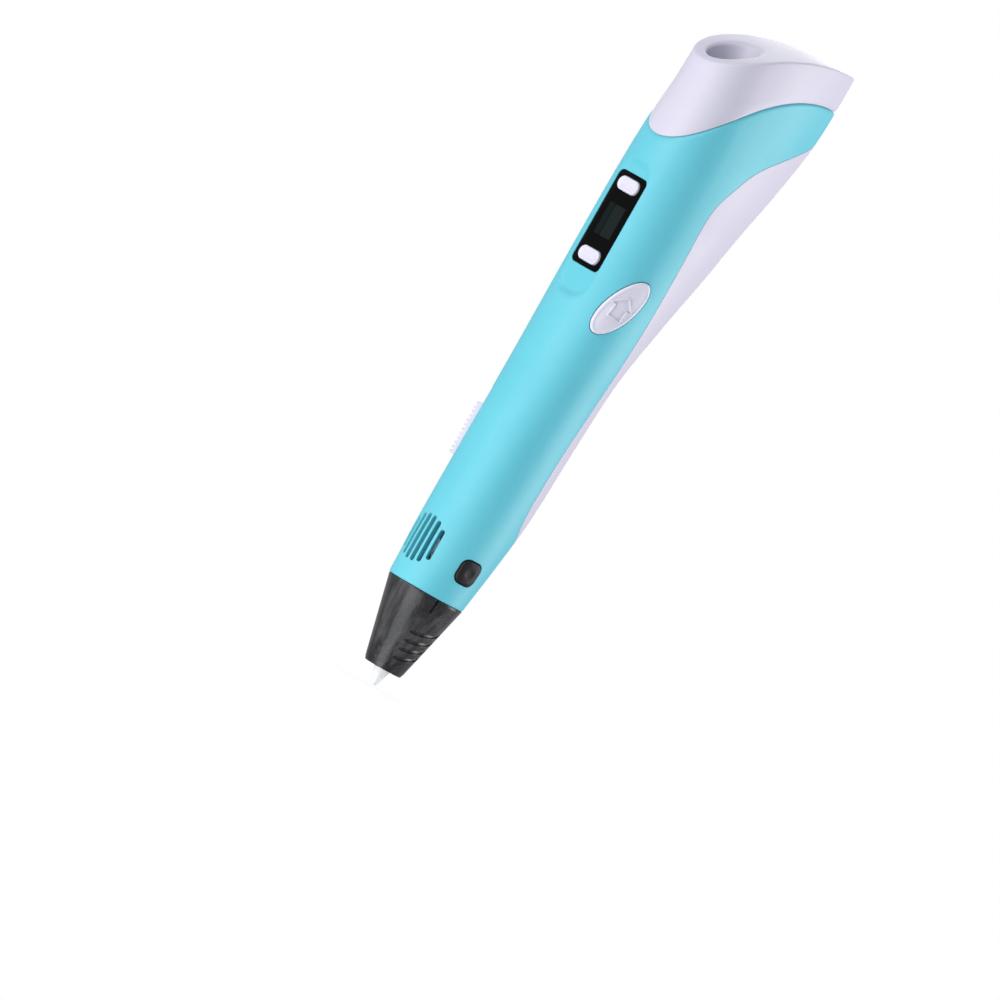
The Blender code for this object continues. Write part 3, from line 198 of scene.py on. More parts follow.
def mouldedPlastic(name, colour, deep, roughness, grain, edge, gloss=0.5):
    # moulded plastic: faint clouds in the colour, fine spark grain, rubbed patches, soft edges
    graph = Graph(name, Specular_IOR_Level=gloss, IOR=1.5)
    clouds = graph.spread(graph.noise(42, 3, 0.55), 0.32, 0.68)
    flow = graph.spread(graph.noise(120, 2, 0.5, graph.stretched(1, 1, 0.25), 0.6), 0.4, 0.75)
    specks = graph.spread(graph.cells(900), 0.02, 0.10, 1.0, 0.0)
    tint = graph.mix(clouds * 0.55 + flow * 0.2, shade(colour), shade(deep))
    graph.feed("Base Color", graph.mix(specks * 0.06, tint, shade(deep, 0.8)))
    rubbed = graph.spread(graph.noise(75, 4, 0.62, None, 0.8), 0.35, 0.7)
    scuffs = graph.spread(graph.noise(300, 5, 0.7, graph.stretched(3.0, 3.0, 0.4)), 0.58, 0.72)
    graph.feed("Roughness", rubbed * 0.07 + scuffs * 0.05 + (roughness - 0.05))
    fine = graph.noise(2600, 2, 0.6)
    wide = graph.noise(55, 1, 0.4)
    normal = graph.bump(fine * grain + wide * 0.8, 0.00002, graph.softEdges(edge))
    graph.feed("Normal", normal)
    return graph.material


finishes = {}
finishes["turquoise"] = mouldedPlastic(
    "turquoisePlastic", (0.135, 0.585, 0.690), (0.105, 0.535, 0.650), 0.48, 0.5, 0.30)
finishes["lilac"] = mouldedPlastic(
    "lilacWhitePlastic", (0.660, 0.640, 0.745), (0.620, 0.600, 0.715), 0.46, 0.5, 0.30)
finishes["lilacKey"] = mouldedPlastic(
    "lilacKeyPlastic", (0.740, 0.725, 0.830), (0.690, 0.670, 0.790), 0.30, 0.3, 0.16)
finishes["blackButton"] = mouldedPlastic(
    "brownBlackPlastic", (0.009, 0.008, 0.010), (0.006, 0.005, 0.007), 0.48, 1.2, 0.18, 0.3)
finishes["darkPlastic"] = mouldedPlastic(
    "darkPlastic", (0.018, 0.018, 0.020), (0.010, 0.010, 0.012), 0.45, 1.0, 0.12)
finishes["greyNylon"] = mouldedPlastic(
    "greyNylon", (0.270, 0.280, 0.300), (0.210, 0.220, 0.240), 0.5, 1.6, 0.12)


def mottledGrip():
    # glass-filled nose plastic: dark, with paler streaks that run down it, a painted reflection of
    # the lights on its semi-gloss face
    graph = Graph("mottledGrip", Specular_IOR_Level=0.55)
    reflectionStreaks = graph.noise(150, 6, 0.68, graph.stretched(1.0, 1.0, 0.30), 1.4)
    blotches = graph.noise(330, 4, 0.6, None, 0.9)
    paintedReflection = graph.spread(reflectionStreaks, 0.44, 0.72)
    spots = graph.spread(blotches, 0.50, 0.74)
    # painted reflection: the paler streaks are mixed into the dark base colour, and the same mask
    # raises the roughness
    base = graph.mix(paintedReflection * 0.9, shade((0.006, 0.006, 0.008)), shade((0.095, 0.090, 0.090)))
    graph.feed("Base Color", graph.mix(spots * 0.4, base, shade((0.030, 0.028, 0.030))))
    graph.feed("Roughness", paintedReflection * 0.14 + spots * 0.08 + 0.25)
    fibres = graph.noise(900, 3, 0.6, graph.stretched(1.6, 1.6, 0.35))
    graph.feed("Normal", graph.bump(fibres * 1.0 + reflectionStreaks * 1.6, 0.00004, graph.softEdges(0.22)))
    return graph.material


def firedCeramic():
    # white ceramic: fine grain, faint cream clouds and a slight glow through its thin end
    graph = Graph("firedCeramic", Subsurface_Weight=0.12, Subsurface_Scale=0.0012,
                  Specular_IOR_Level=0.5)
    clouds = graph.spread(graph.noise(240, 4, 0.6), 0.35, 0.7)
    tint = graph.mix(clouds, shade((0.92, 0.92, 0.93)), shade((0.86, 0.86, 0.86)))
    graph.feed("Base Color", tint)
    graph.feed("Roughness", graph.spread(graph.noise(700, 3), 0.3, 0.7, 0.26, 0.42))
    grain = graph.cells(1900)
    graph.feed("Normal", graph.bump(grain, 0.00002, graph.softEdges(0.1)))
    return graph.material


def turnedMetal(name, colour, dark, roughness, lines):
    # machined metal: fine turning lines across the pen, a little tarnish
    graph = Graph(name, Metallic=1.0)
    cloud = graph.spread(graph.noise(260, 4, 0.6), 0.35, 0.7)
    graph.feed("Base Color", graph.mix(cloud, shade(colour), shade(dark)))
    turning = graph.noise(500, 3, 0.6, graph.stretched(0.3, 0.3, lines))
    graph.feed("Roughness", graph.spread(turning, 0.3, 0.7, roughness - 0.06, roughness + 0.10))
    graph.feed("Normal", graph.bump(turning, 0.000012, graph.softEdges(0.08)))
    return graph.material


# places on the window, in metres
panes = {"across": 0.0001, "halfWidth": 0.00325, "halfHeight": 0.0042, "divider": 0.00096,
         "halfDivider": 0.00022}


def printedWindow():
    # glossy pane, black behind the face except over the display, which shows dull green panes
    middle = middleOf("display_window") * mm
    graph = Graph("printedWindow", Specular_IOR_Level=0.06)
    across, up = graph.along("X"), graph.along("Z")
    wide = abs(across - panes["across"]) < panes["halfWidth"]
    tall = abs(up - middle.z) < panes["halfHeight"]
    divider = abs(across + panes["divider"]) < panes["halfDivider"]
    leftPane = across < -panes["divider"]
    glow = graph.spread(graph.noise(140, 2, 0.5, None, 0.5), 0.3, 0.7)
    screen = graph.mix(leftPane, shade((0.0120, 0.0175, 0.0165)), shade((0.0060, 0.0105, 0.0110)))
    screen = graph.mix(glow * 0.5, screen, shade((0.0080, 0.0125, 0.0118)))
    screen = graph.mix(divider, screen, shade((0.003, 0.005, 0.006)))
    graph.feed("Base Color", graph.mix(wide * tall, shade((0.0020, 0.0019, 0.0020)), screen))
    wiped = graph.spread(graph.noise(90, 5, 0.65, graph.stretched(1, 1, 0.5), 1.0), 0.45, 0.75)
    graph.feed("Roughness", wiped * 0.06 + 0.07)
    graph.feed("Normal", graph.bump(graph.noise(60, 1), 0.000008, graph.softEdges(0.06)))
    return graph.material


def circuitBoard(name, colour, bare):
    # lacquered board: raised tracks, plated spots and a woven core under the lacquer
    graph = Graph(name, Coat_Weight=0.5, Coat_Roughness=0.15)
    tracks = graph.spread(graph.cells(420, "DISTANCE_TO_EDGE"), 0.04, 0.09, 1.0, 0.0)
    pads = graph.cells(620) < 0.16
    weave = graph.waves(900, "Z") * 0.5 + graph.waves(900, "X") * 0.5
    base = graph.mix(tracks * 0.7, shade(colour), shade(colour, 2.0))
    base = graph.mix(weave * 0.15, base, shade(colour, 0.6))
    graph.feed("Base Color", graph.mix(pads, base, shade(bare)))
    graph.feed("Metallic", pads * 0.9)
    graph.feed("Roughness", graph.spread(graph.noise(500), 0.3, 0.7, 0.3, 0.45))
    graph.feed("Normal", graph.bump(tracks + pads * 1.0, 0.00003, graph.softEdges(0.1)))
    return graph.material


def wovenWrap():
    # glass fibre sleeve: crossing yarns
    graph = Graph("wovenGlassFibre", Sheen_Weight=0.3)
    yarns = graph.waves(1100, "Z", 0.6) * graph.waves(1100, "DIAGONAL", 0.6)
    tint = graph.mix(yarns, shade((0.48, 0.43, 0.32)), shade((0.80, 0.76, 0.64)))
    graph.feed("Base Color", tint)
    graph.feed("Roughness", graph.spread(yarns, 0.0, 1.0, 0.95, 0.7))
    graph.feed("Normal", graph.bump(yarns, 0.00012))
    return graph.material


def milkyTube():
    # waxy tube that the filament slides in
    graph = Graph("milkyTube", Subsurface_Weight=0.3, Subsurface_Scale=0.002,
                  Specular_IOR_Level=0.4)
    clouds = graph.spread(graph.noise(180, 3), 0.35, 0.7)
    tint = graph.mix(clouds, shade((0.82, 0.84, 0.86)), shade((0.72, 0.75, 0.77)))
    graph.feed("Base Color", tint)
    drawn = graph.noise(800, 3, 0.6, graph.stretched(1.5, 1.5, 0.1))
    graph.feed("Roughness", graph.spread(drawn, 0.3, 0.7, 0.32, 0.46))
    graph.feed("Normal", graph.bump(drawn, 0.00002))
    return graph.material


finishes["grip"] = mottledGrip()
finishes["ceramic"] = firedCeramic()
finishes["brass"] = turnedMetal("turnedBrass", (0.66, 0.47, 0.18), (0.50, 0.33, 0.11), 0.28, 3.0)
finishes["steel"] = turnedMetal("brightSteel", (0.60, 0.61, 0.63), (0.44, 0.45, 0.47), 0.27, 3.0)
finishes["window"] = printedWindow()
finishes["board"] = circuitBoard("greenBoard", (0.012, 0.130, 0.050), (0.72, 0.55, 0.24))
finishes["panel"] = circuitBoard("displayPanel", (0.014, 0.020, 0.018), (0.10, 0.12, 0.12))
finishes["wrap"] = wovenWrap()
finishes["tube"] = milkyTube()
print("finishes made")


# The skin of the pen, from the collar above the nose to the tail. Each row is a share of the
# body's length, then half width / width, front, middle and back / depth, and how pointed the
# back is.
skin = {
    "length": 184.0, "width": 28.2, "depth": 47.3, "collarZ": 25.7, "collar": 10.0,
    "square": 2.1, "ridge": 0.85, "corners": 208, "step": 0.66, "wall": 1.8, "seam": 0.06,
    "rows": (
        (0.030, 0.366, 0.2093, 0.0000, 0.2315, 0.50), (0.078, 0.388, 0.2093, 0.0019, 0.2606, 0.50),
        (0.166, 0.408, 0.2033, 0.0107, 0.3073, 0.50), (0.311, 0.433, 0.1906, 0.0214, 0.3307, 0.50),
        (0.419, 0.457, 0.1819, 0.0321, 0.3598, 0.52), (0.526, 0.488, 0.1765, 0.0486, 0.4483, 0.56),
        (0.621, 0.500, 0.1765, 0.0632, 0.5407, 0.58), (0.697, 0.499, 0.1765, 0.0700, 0.6107, 0.61),
        (0.785, 0.482, 0.1731, 0.0807, 0.7022, 0.66), (0.867, 0.429, 0.1564, 0.0846, 0.7702, 0.71),
        (0.937, 0.405, 0.1564, 0.0846, 0.7907, 0.74), (1.100, 0.399, 0.1564, 0.0846, 0.7907, 0.74),
    ),
}
skin["body"] = skin["length"] - skin["collarZ"]


def smooth(knots, x):
    if x <= knots[0][0]:
        return knots[0][1]
    if x >= knots[-1][0]:
        return knots[-1][1]
    last = len(knots) - 1
    i = max(k for k in range(last) if knots[k][0] <= x)
    slopes = []
    for k in (i, i + 1):
        before, after = knots[max(k - 1, 0)], knots[min(k + 1, last)]
        slopes.append((after[1] - before[1]) / (after[0] - before[0]))
    (x0, y0), (x1, y1) = knots[i], knots[i + 1]
    run = x1 - x0
    t = (x - x0) / run
    return ((2 * t ** 3 - 3 * t ** 2 + 1) * y0 + (t ** 3 - 2 * t ** 2 + t) * slopes[0] * run
            + (3 * t ** 2 - 2 * t ** 3) * y1 + (t ** 3 - t ** 2) * slopes[1] * run)


def makeSkinTable():
    # half width, front, middle, back and pointedness at every quarter millimetre
    start = (0.0, skin["collar"] / skin["width"], skin["collar"] / skin["depth"], 0.0,
             skin["collar"] / skin["depth"], 0.5)
    rows = (start,) + skin["rows"]
    columns = [[(row[0], row[i]) for row in rows] for i in range(1, 6)]
    scales = (skin["width"], skin["depth"], skin["depth"], skin["depth"], 1.0)
    table = []
    for i in range(801):
        share = (i / 4 - skin["collarZ"]) / skin["body"]
        table.append([smooth(column, share) * scale for column, scale in zip(columns, scales)])
    return table


skinTable = makeSkinTable()


def skinNumbers(z):
    spot = min(max(z * 4, 0), 799.99)
    i = int(spot)
    share = spot - i
    return [a + (b - a) * share for a, b in zip(skinTable[i], skinTable[i + 1])]


def skinPoint(turn, z, inset=0.0):
    width, front, middle, back, point = skinNumbers(z)
    width -= inset
    front -= inset
    back -= inset * (1 + 2.4 * (point - 0.5))
    side, along = math.sin(turn), math.cos(turn)
    if along >= 0:
        x = width * abs(side) ** (2 / skin["square"])
        y = middle - (front + middle) * along ** (2 / skin["square"])
    else:
        x = width * abs(side) ** (2 * point)
        soft = skin["ridge"] * min(max(point - 0.5, 0.0) / 0.3, 1.0)
        x = math.sqrt(x * x + 2 * soft * x * math.exp(-x / 3))    # rounds the ridge of the back
        y = middle - (back - middle) * along
    return Vector((math.copysign(x, side) if abs(side) > 1e-9 else 0.0, y, z))


def turns(count):
    return [2 * math.pi * i / count for i in range(count)]


def onBody(share):
    return skin["collarZ"] + share * skin["body"]


def outward(angle):
    return Vector((math.sin(math.radians(angle)), -math.cos(math.radians(angle)), 0))


def reach(angle, z, across=0.0, inset=0.0):
    # distance of the skin from the axis plane, along angle, at across to its right
    out = outward(angle)
    right = Vector((0, 0, 1)).cross(out)
    low, high = math.radians(angle) - 1.3, math.radians(angle) + 1.3
    for _ in range(30):
        turn = (low + high) / 2
        if skinPoint(turn, z, inset).dot(right) < across:
            low = turn
        else:
            high = turn
    return skinPoint((low + high) / 2, z, inset).dot(out)


tail = {"drop": 14.0, "curve": 2.6, "capHeight": 9.4, "capDrop": 25.0, "capCurve": 2.65,
        "edge": 0.55, "wellR": 5.8, "wellY": 0.7, "wellEdge": 1.1, "wellDepth": 9.6,
        "floor": 1.6, "jackR": 3.0, "jackBevelR": 3.35, "inletR": 1.9, "lipSunk": 0.16}


def depthShare(y):
    front, back = skinNumbers(skin["length"])[1], skinNumbers(skin["length"])[3]
    return min((y + front) / (front + back), 1.0)


def endHeight(y):
    return skin["length"] - tail["drop"] * (1 - depthShare(y)) ** tail["curve"]


def capHeight(y):
    drop = tail["capDrop"] * (1 - depthShare(y)) ** tail["capCurve"]
    return skin["length"] - tail["capHeight"] - drop


def ringOn(curve, lower=0.0, inset=0.0):
    ring = []
    for turn in turns(skin["corners"]):
        z = curve(0) - lower
        for _ in range(8):
            z = curve(skinPoint(turn, z, inset).y) - lower
        ring.append(skinPoint(turn, z, inset))
    return ring


def ringAt(z, inset=0.0):
    return [skinPoint(turn, z, inset) for turn in turns(skin["corners"])]


def roundRing(z, radius):
    return [Vector((radius * math.sin(t), -radius * math.cos(t), z))
            for t in turns(skin["corners"])]


# Mesh helpers. Every mesh is drawn in millimetres.

def skinOf(rings, closed=False, lids=True):
    # rings joined into one surface; a ring of one point is a pole
    mesh = bmesh.new()
    rows = [[mesh.verts.new(point) for point in ring] for ring in rings]
    pairs = list(zip(rows, rows[1:]))
    if closed:
        pairs.append((rows[-1], rows[0]))
    for low, high in pairs:
        count = max(len(low), len(high))
        for i in range(count):
            j = (i + 1) % count
            corners = [low[i % len(low)], low[j % len(low)], high[j % len(high)],
                       high[i % len(high)]]
            unique = [c for k, c in enumerate(corners) if c not in corners[:k]]
            if len(unique) > 2:
                mesh.faces.new(unique)
    if lids and not closed:
        for row in (rows[0], rows[-1]):
            if len(row) > 2:
                mesh.faces.new(row)
    bmesh.ops.recalc_face_normals(mesh, faces=mesh.faces)
    return mesh


def joined(meshes):
    # several closed meshes in one
    whole = bmesh.new()
    for mesh in meshes:
        part = bpy.data.meshes.new("part")
        mesh.to_mesh(part)
        mesh.free()
        whole.from_mesh(part)
        bpy.data.meshes.remove(part)
    return whole


def objectOf(name, mesh):
    bmesh.ops.scale(mesh, vec=(mm, mm, mm), verts=mesh.verts)
    data = bpy.data.meshes.new(name)
    mesh.to_mesh(data)
    mesh.free()
    piece = bpy.data.objects.new(name, data)
    bpy.context.scene.collection.objects.link(piece)
    return piece


def settle(piece):
    # the modified mesh becomes the piece's own
    view = bpy.context.evaluated_depsgraph_get()
    mesh = bpy.data.meshes.new_from_object(piece.evaluated_get(view))
    piece.modifiers.clear()
    piece.data = mesh


def carveWith(piece, other, operation):
    modifier = piece.modifiers.new("carve", "BOOLEAN")
    modifier.operation, modifier.solver, modifier.object = operation, "EXACT", other
    settle(piece)
    bpy.data.objects.remove(other)


def carve(piece, tool, operation="DIFFERENCE"):
    carveWith(piece, objectOf("tool", tool), operation)


def finishPiece(piece, material, body, nodes, angle=34):
    piece.data.materials.clear()
    piece.data.materials.append(finishes[material])
    for face in piece.data.polygons:
        face.material_index = 0
    piece.data.shade_smooth()
    piece.data.set_sharp_from_angle(angle=math.radians(angle))
    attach(piece, body)
    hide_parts(*nodes)
    return piece


def rounded(width, height, radius, steps=8, centre=(0, 0)):
    points = []
    radius = min(radius, width / 2 - 0.001, height / 2 - 0.001)
    for quarter, (sx, sy) in enumerate(((1, 1), (-1, 1), (-1, -1), (1, -1))):
        cx = centre[0] + sx * (width / 2 - radius)
        cy = centre[1] + sy * (height / 2 - radius)
        for step in range(steps + 1):
            turn = math.pi / 2 * (quarter + step / steps)
            points.append((cx + radius * math.cos(turn), cy + radius * math.sin(turn)))
    return points


def oval(width, height, tilt, steps=96):
    lean = math.radians(tilt)
    points = []
    for turn in turns(steps):
        x, y = width / 2 * math.cos(turn), height / 2 * math.sin(turn)
        points.append((x * math.cos(lean) + y * math.sin(lean),
                       y * math.cos(lean) - x * math.sin(lean)))
    return points


def circle(radius, steps=48, centre=(0, 0)):
    return [(centre[0] + radius * math.cos(t), centre[1] + radius * math.sin(t))
            for t in turns(steps)]


def facing(angle=0.0, z=0.0, across=0.0):
    # x to the right of someone who looks at that side, y up the pen and z outwards
    out = outward(angle)
    right = Vector((0, 0, 1)).cross(out)
    spot = right * across
    return Matrix(((right.x, 0, out.x, spot.x), (right.y, 0, out.y, spot.y), (0, 1, 0, z),
                   (0, 0, 0, 1)))


def upright(x=0.0, y=0.0, z=0.0):
    return Matrix.Translation((x, y, z))


def sideways(x=0.0, y=0.0, z=0.0):
    # axis along +x, with flat x along y and flat y along z
    return Matrix(((0, 0, 1, x), (1, 0, 0, y), (0, 1, 0, z), (0, 0, 0, 1)))


def stack(place, levels):
    # closed solid through flat outlines at heights
    return skinOf([[place @ Vector((x, y, height)) for x, y in outline]
                   for outline, height in levels])


def turned(place, profile, steps=64, closed=False):
    rings = []
    for radius, height in profile:
        spots = circle(radius, steps) if radius else [(0, 0)]
        rings.append([place @ Vector((x, y, height)) for x, y in spots])
    return skinOf(rings, closed)


def rounding(radius, height, edge, steps=5, rise=1):
    # quarter round from a side wall at radius to a face at height
    points = []
    for i in range(steps + 1):
        turn = math.pi / 2 * i / steps
        points.append((radius - edge * (1 - math.cos(turn)),
                       height - rise * edge * (1 - math.sin(turn))))
    return points


def tubeAlong(path, radii, sides=8, loop=False):
    rings = []
    side = None
    count = len(path)
    for i, point in enumerate(path):
        before = path[(i - 1) % count] if loop else path[max(i - 1, 0)]
        after = path[(i + 1) % count] if loop else path[min(i + 1, count - 1)]
        along = (after - before).normalized()
        side = along.orthogonal().normalized() if side is None else side
        side = (side - along * side.dot(along)).normalized()
        other = along.cross(side)
        rings.append([point + (side * math.cos(t) + other * math.sin(t)) * radii[i]
                      for t in turns(sides)])
    return skinOf(rings, loop)


# Shells. Both come from one tube that is split by a curved line seen from the side.

display = {"z": middleOf("display_window").z, "face": -boxOf("display_window")[0].y,
           "length": 25.0, "width": 11.3, "thick": 0.8, "corner": 1.4, "ledge": 0.8,
           "padLength": 37.2, "padWidth": 14.2, "padLift": -2.2, "padSoft": 1.8}
neck = {"radius": boxOf("nozzle_holder")[1].x + 1.55, "length": 4.6}


def padShare(x, z):
    # 1 well inside the flat pad round the display, falling to 0 at its edge
    half = (display["padWidth"] / 2, display["padLength"] / 2)
    corner = display["padWidth"] / 2.4
    qx = abs(x) - half[0] + corner
    qz = abs(z - display["z"] - display["padLift"]) - half[1] + corner
    gap = math.hypot(max(qx, 0), max(qz, 0)) + min(max(qx, qz), 0) - corner
    share = min(max(-gap / display["padSoft"], 0.0), 1.0)
    return 0.9 * share + 0.1 * share * share * (3 - 2 * share)


def flattened(ring):
    made = []
    for point in ring:
        if point.y < -5 and point.y < -display["face"]:
            share = padShare(point.x, point.z)
            point = Vector((point.x, point.y + (-display["face"] - point.y) * share, point.z))
        made.append(point)
    return made


def bodyTube():
    low, wall, seam, edge = skin["collarZ"], skin["wall"], skin["seam"], 0.9
    straight = onBody(0.690)
    count = round((straight - low) / skin["step"])
    outer = [roundRing(low - neck["length"], neck["radius"] - 0.3),
             roundRing(low - neck["length"] + 0.3, neck["radius"]), roundRing(low, neck["radius"]),
             roundRing(low, skin["collar"] - 0.15), roundRing(low + 0.05, skin["collar"] - 0.04)]
    outer += [flattened(ringAt(low + 0.2 + (straight - low - 0.2) * i / count))
              for i in range(count + 1)]
    rim = [ringOn(capHeight, seam + edge - edge * math.sin(t), edge - edge * math.cos(t))
           for t in (math.pi / 2 * i / 5 for i in range(6))]
    steps = 46
    for i in range(1, steps):
        ring = []
        for turn, point in zip(turns(skin["corners"]), rim[0]):
            ring.append(skinPoint(turn, straight + (point.z - straight) * i / steps))
        outer.append(flattened(ring))
    inner = [roundRing(low - neck["length"], neck["radius"] - 1.25),
             roundRing(low + wall, neck["radius"] - 1.25)]
    inner += [ringAt(low + wall + 1.6 + (straight - low - wall - 1.6) * i / 30, wall + 0.1)
              for i in range(31)]
    lip = ringOn(capHeight, seam, wall)
    for i in (1, 2, 3, 4):
        inner.append([skinPoint(turn, straight + (point.z - straight) * i / 4, wall)
                      for turn, point in zip(turns(skin["corners"]), lip)])
    return skinOf(outer + rim + list(reversed(inner)), True)


def backOutline(grow=0.0):
    # side view of the room that the back shell fills
    depth = skin["depth"]
    knots = [(0.342, 0.106), (0.236, 0.126), (0.1585, 0.170), (0.152, 0.270), (0.1905, 0.435),
             (0.171, 0.608), (0.167, 0.706), (0.233, 0.757), (0.370, 0.809), (0.704, 0.8705),
             (0.810, 0.884)]
    ys = [(i, knot[0] * depth) for i, knot in enumerate(knots)]
    zs = [(i, onBody(knot[1])) for i, knot in enumerate(knots)]
    steps = 10 * (len(knots) - 1)
    line = [Vector((smooth(ys, i / 10), smooth(zs, i / 10))) for i in range(steps + 1)]
    grown = []
    for i, point in enumerate(line):
        along = (line[min(i + 1, steps)] - line[max(i - 1, 0)]).normalized()
        grown.append(point + Vector((-along.y, along.x)) * grow)
    return [tuple(p) for p in grown] + [(2 * depth, grown[-1].y), (2 * depth, grown[0].y)]


def backRoom(grow):
    outline = backOutline(grow)
    return stack(sideways(), [(outline, -skin["width"]), (outline, skin["width"])])


unload = {"angle": 60.5, "across": 5.1, "width": 7.5, "height": 17.6, "tilt": 23.0,
          "z": onBody(0.520), "gap": 0.16, "proud": 0.9, "stemLow": 8.6, "flangeTop": 9.6}
feed = {"angle": 90.0, "across": 0.0, "size": 6.0, "corner": 1.8,
        "z": middleOf("feed_button").z, "gap": 0.28, "proud": 0.45}
slider = {"angle": -64.0, "z": onBody(0.2465), "length": 14.4, "width": 5.0, "travel": 4.5,
          "proud": 1.7, "trackDepth": 0.5, "ribs": 12, "stemWidth": 1.6, "stemLength": 3.2}
vents = {"z": onBody(0.070), "count": 6, "angle": 12.0, "width": 1.3, "length": 12.4}


def trackFloor():
    run, edge = slider["length"] / 2 + slider["travel"], slider["width"] / 2
    spots = [reach(slider["angle"], slider["z"] + up, side)
             for up in (-run, 0, run) for side in (-edge, edge)]
    return min(spots) - slider["trackDepth"]


def frontOpenings():
    far = skin["depth"]
    place = facing(0, display["z"])
    bed = rounded(display["width"] + 0.3, display["length"] + 0.3, display["corner"] + 0.15)
    opening = rounded(display["width"] - 2 * display["ledge"],
                      display["length"] - 2 * display["ledge"], display["corner"] / 2)
    ledge = display["face"] - display["thick"] - 0.1
    tools = [stack(place, [(opening, 2.0), (opening, ledge), (bed, ledge), (bed, far)])]
    hole = oval(unload["width"] + 2 * unload["gap"], unload["height"] + 2 * unload["gap"],
                unload["tilt"])
    tools.append(stack(facing(unload["angle"], unload["z"], unload["across"]),
                       [(hole, 7.0), (hole, far)]))
    side = feed["size"] + 2 * feed["gap"]
    hole = rounded(side, side, feed["corner"] + feed["gap"])
    tools.append(stack(facing(feed["angle"], feed["z"]), [(hole, 6.0), (hole, far)]))
    floor = trackFloor()
    run = 2 * (slider["travel"] + 0.3)
    track = rounded(slider["width"] + 0.6, slider["length"] + run, 0.8)
    slot = rounded(slider["stemWidth"] + 0.5, slider["stemLength"] + run, 0.6)
    tools.append(stack(facing(slider["angle"], slider["z"]),
                       [(slot, floor - 5.4), (slot, floor), (track, floor), (track, far)]))
    middle = (vents["count"] - 1) / 2
    for i in range(vents["count"]):
        share = (i - middle) / (middle + 0.8)
        length = vents["length"] * math.sqrt(1 - share ** 2)
        hole = rounded(vents["width"], length, vents["width"] / 2, 5)
        tools.append(stack(facing((i - middle) * vents["angle"], vents["z"]),
                           [(hole, skin["collar"] - 3.6), (hole, far / 2)]))
    return joined(tools)


screws = {"places": (0.19, 0.33, 0.70), "head": 1.7, "headHeight": 1.2, "shaft": 0.9,
          "length": 6.5, "threads": 16, "pitch": 0.34}


def splitY(z):
    return smooth(sorted((zz, yy) for yy, zz in backOutline()[:-2]), z)


def screwSeats():
    return [(onBody(share), splitY(onBody(share)) + 0.6 + screws["headHeight"])
            for share in screws["places"]]


def makeShells():
    front = objectOf("frontShell", bodyTube())
    back = front.copy()
    back.data = front.data.copy()
    back.name = "backShell"
    bpy.context.scene.collection.objects.link(back)
    carve(front, joined([backRoom(skin["seam"]), frontOpenings()]))
    print("front shell carved")
    carve(back, backRoom(0.0), "INTERSECT")
    seats = screwSeats()
    far = skin["depth"]
    posts = objectOf("posts", joined([
        stack(facing(180, z), [(circle(screws["head"] + 1.2), splitY(z) + 0.3),
                               (circle(screws["head"] + 1.2), far)]) for z, seat in seats]))
    heights = (0.12, 0.2, 0.3, 0.42, 0.54, 0.66, 0.78)
    carve(posts, skinOf([ringAt(onBody(share), 1.0) for share in heights]), "INTERSECT")
    carveWith(back, posts, "UNION")
    wells = []
    for z, seat in seats:
        clear, well = circle(screws["shaft"] + 0.3), circle(screws["head"] + 0.3)
        wells.append(stack(facing(180, z), [(clear, splitY(z) - 1), (clear, seat), (well, seat),
                                            (well, far)]))
    carve(back, joined(wells))
    finishPiece(front, "turquoise", "pen", ["front_shell"])
    finishPiece(back, "lilac", "pen", ["back_shell"])
    print("back shell carved")


makeShells()


def makeScrews():
    for number, (z, seat) in enumerate(screwSeats(), 1):
        place = facing(180, z)
        base, tip = seat + 0.05, seat - screws["length"]
        top, root = base + screws["headHeight"], screws["shaft"] * 0.72
        profile = [(0, tip), (screws["shaft"] * 0.5, tip + 0.1)]
        for i in range(screws["threads"]):
            low = tip + 0.5 + i * screws["pitch"]
            profile += [(root, low), (screws["shaft"], low + screws["pitch"] / 2)]
        profile += [(root, base - 0.1), (screws["head"] - 0.1, base)]
        profile += rounding(screws["head"], top, 0.5)
        profile += [(screws["head"] - 0.9, top + 0.04), (0, top + 0.06)]
        piece = objectOf(f"shellScrew{number}", turned(place, profile, 40))
        for wide, tall in ((0.42, 1.9), (1.9, 0.42)):
            arm = rounded(wide, tall, 0.06, 2)
            carve(piece, stack(place, [(arm, top - 0.75), (arm, top + 1)]))
        finishPiece(piece, "steel", "pen", [f"shell_screw_{number}"])


makeScrews()
print("screws made")


# Tail cap

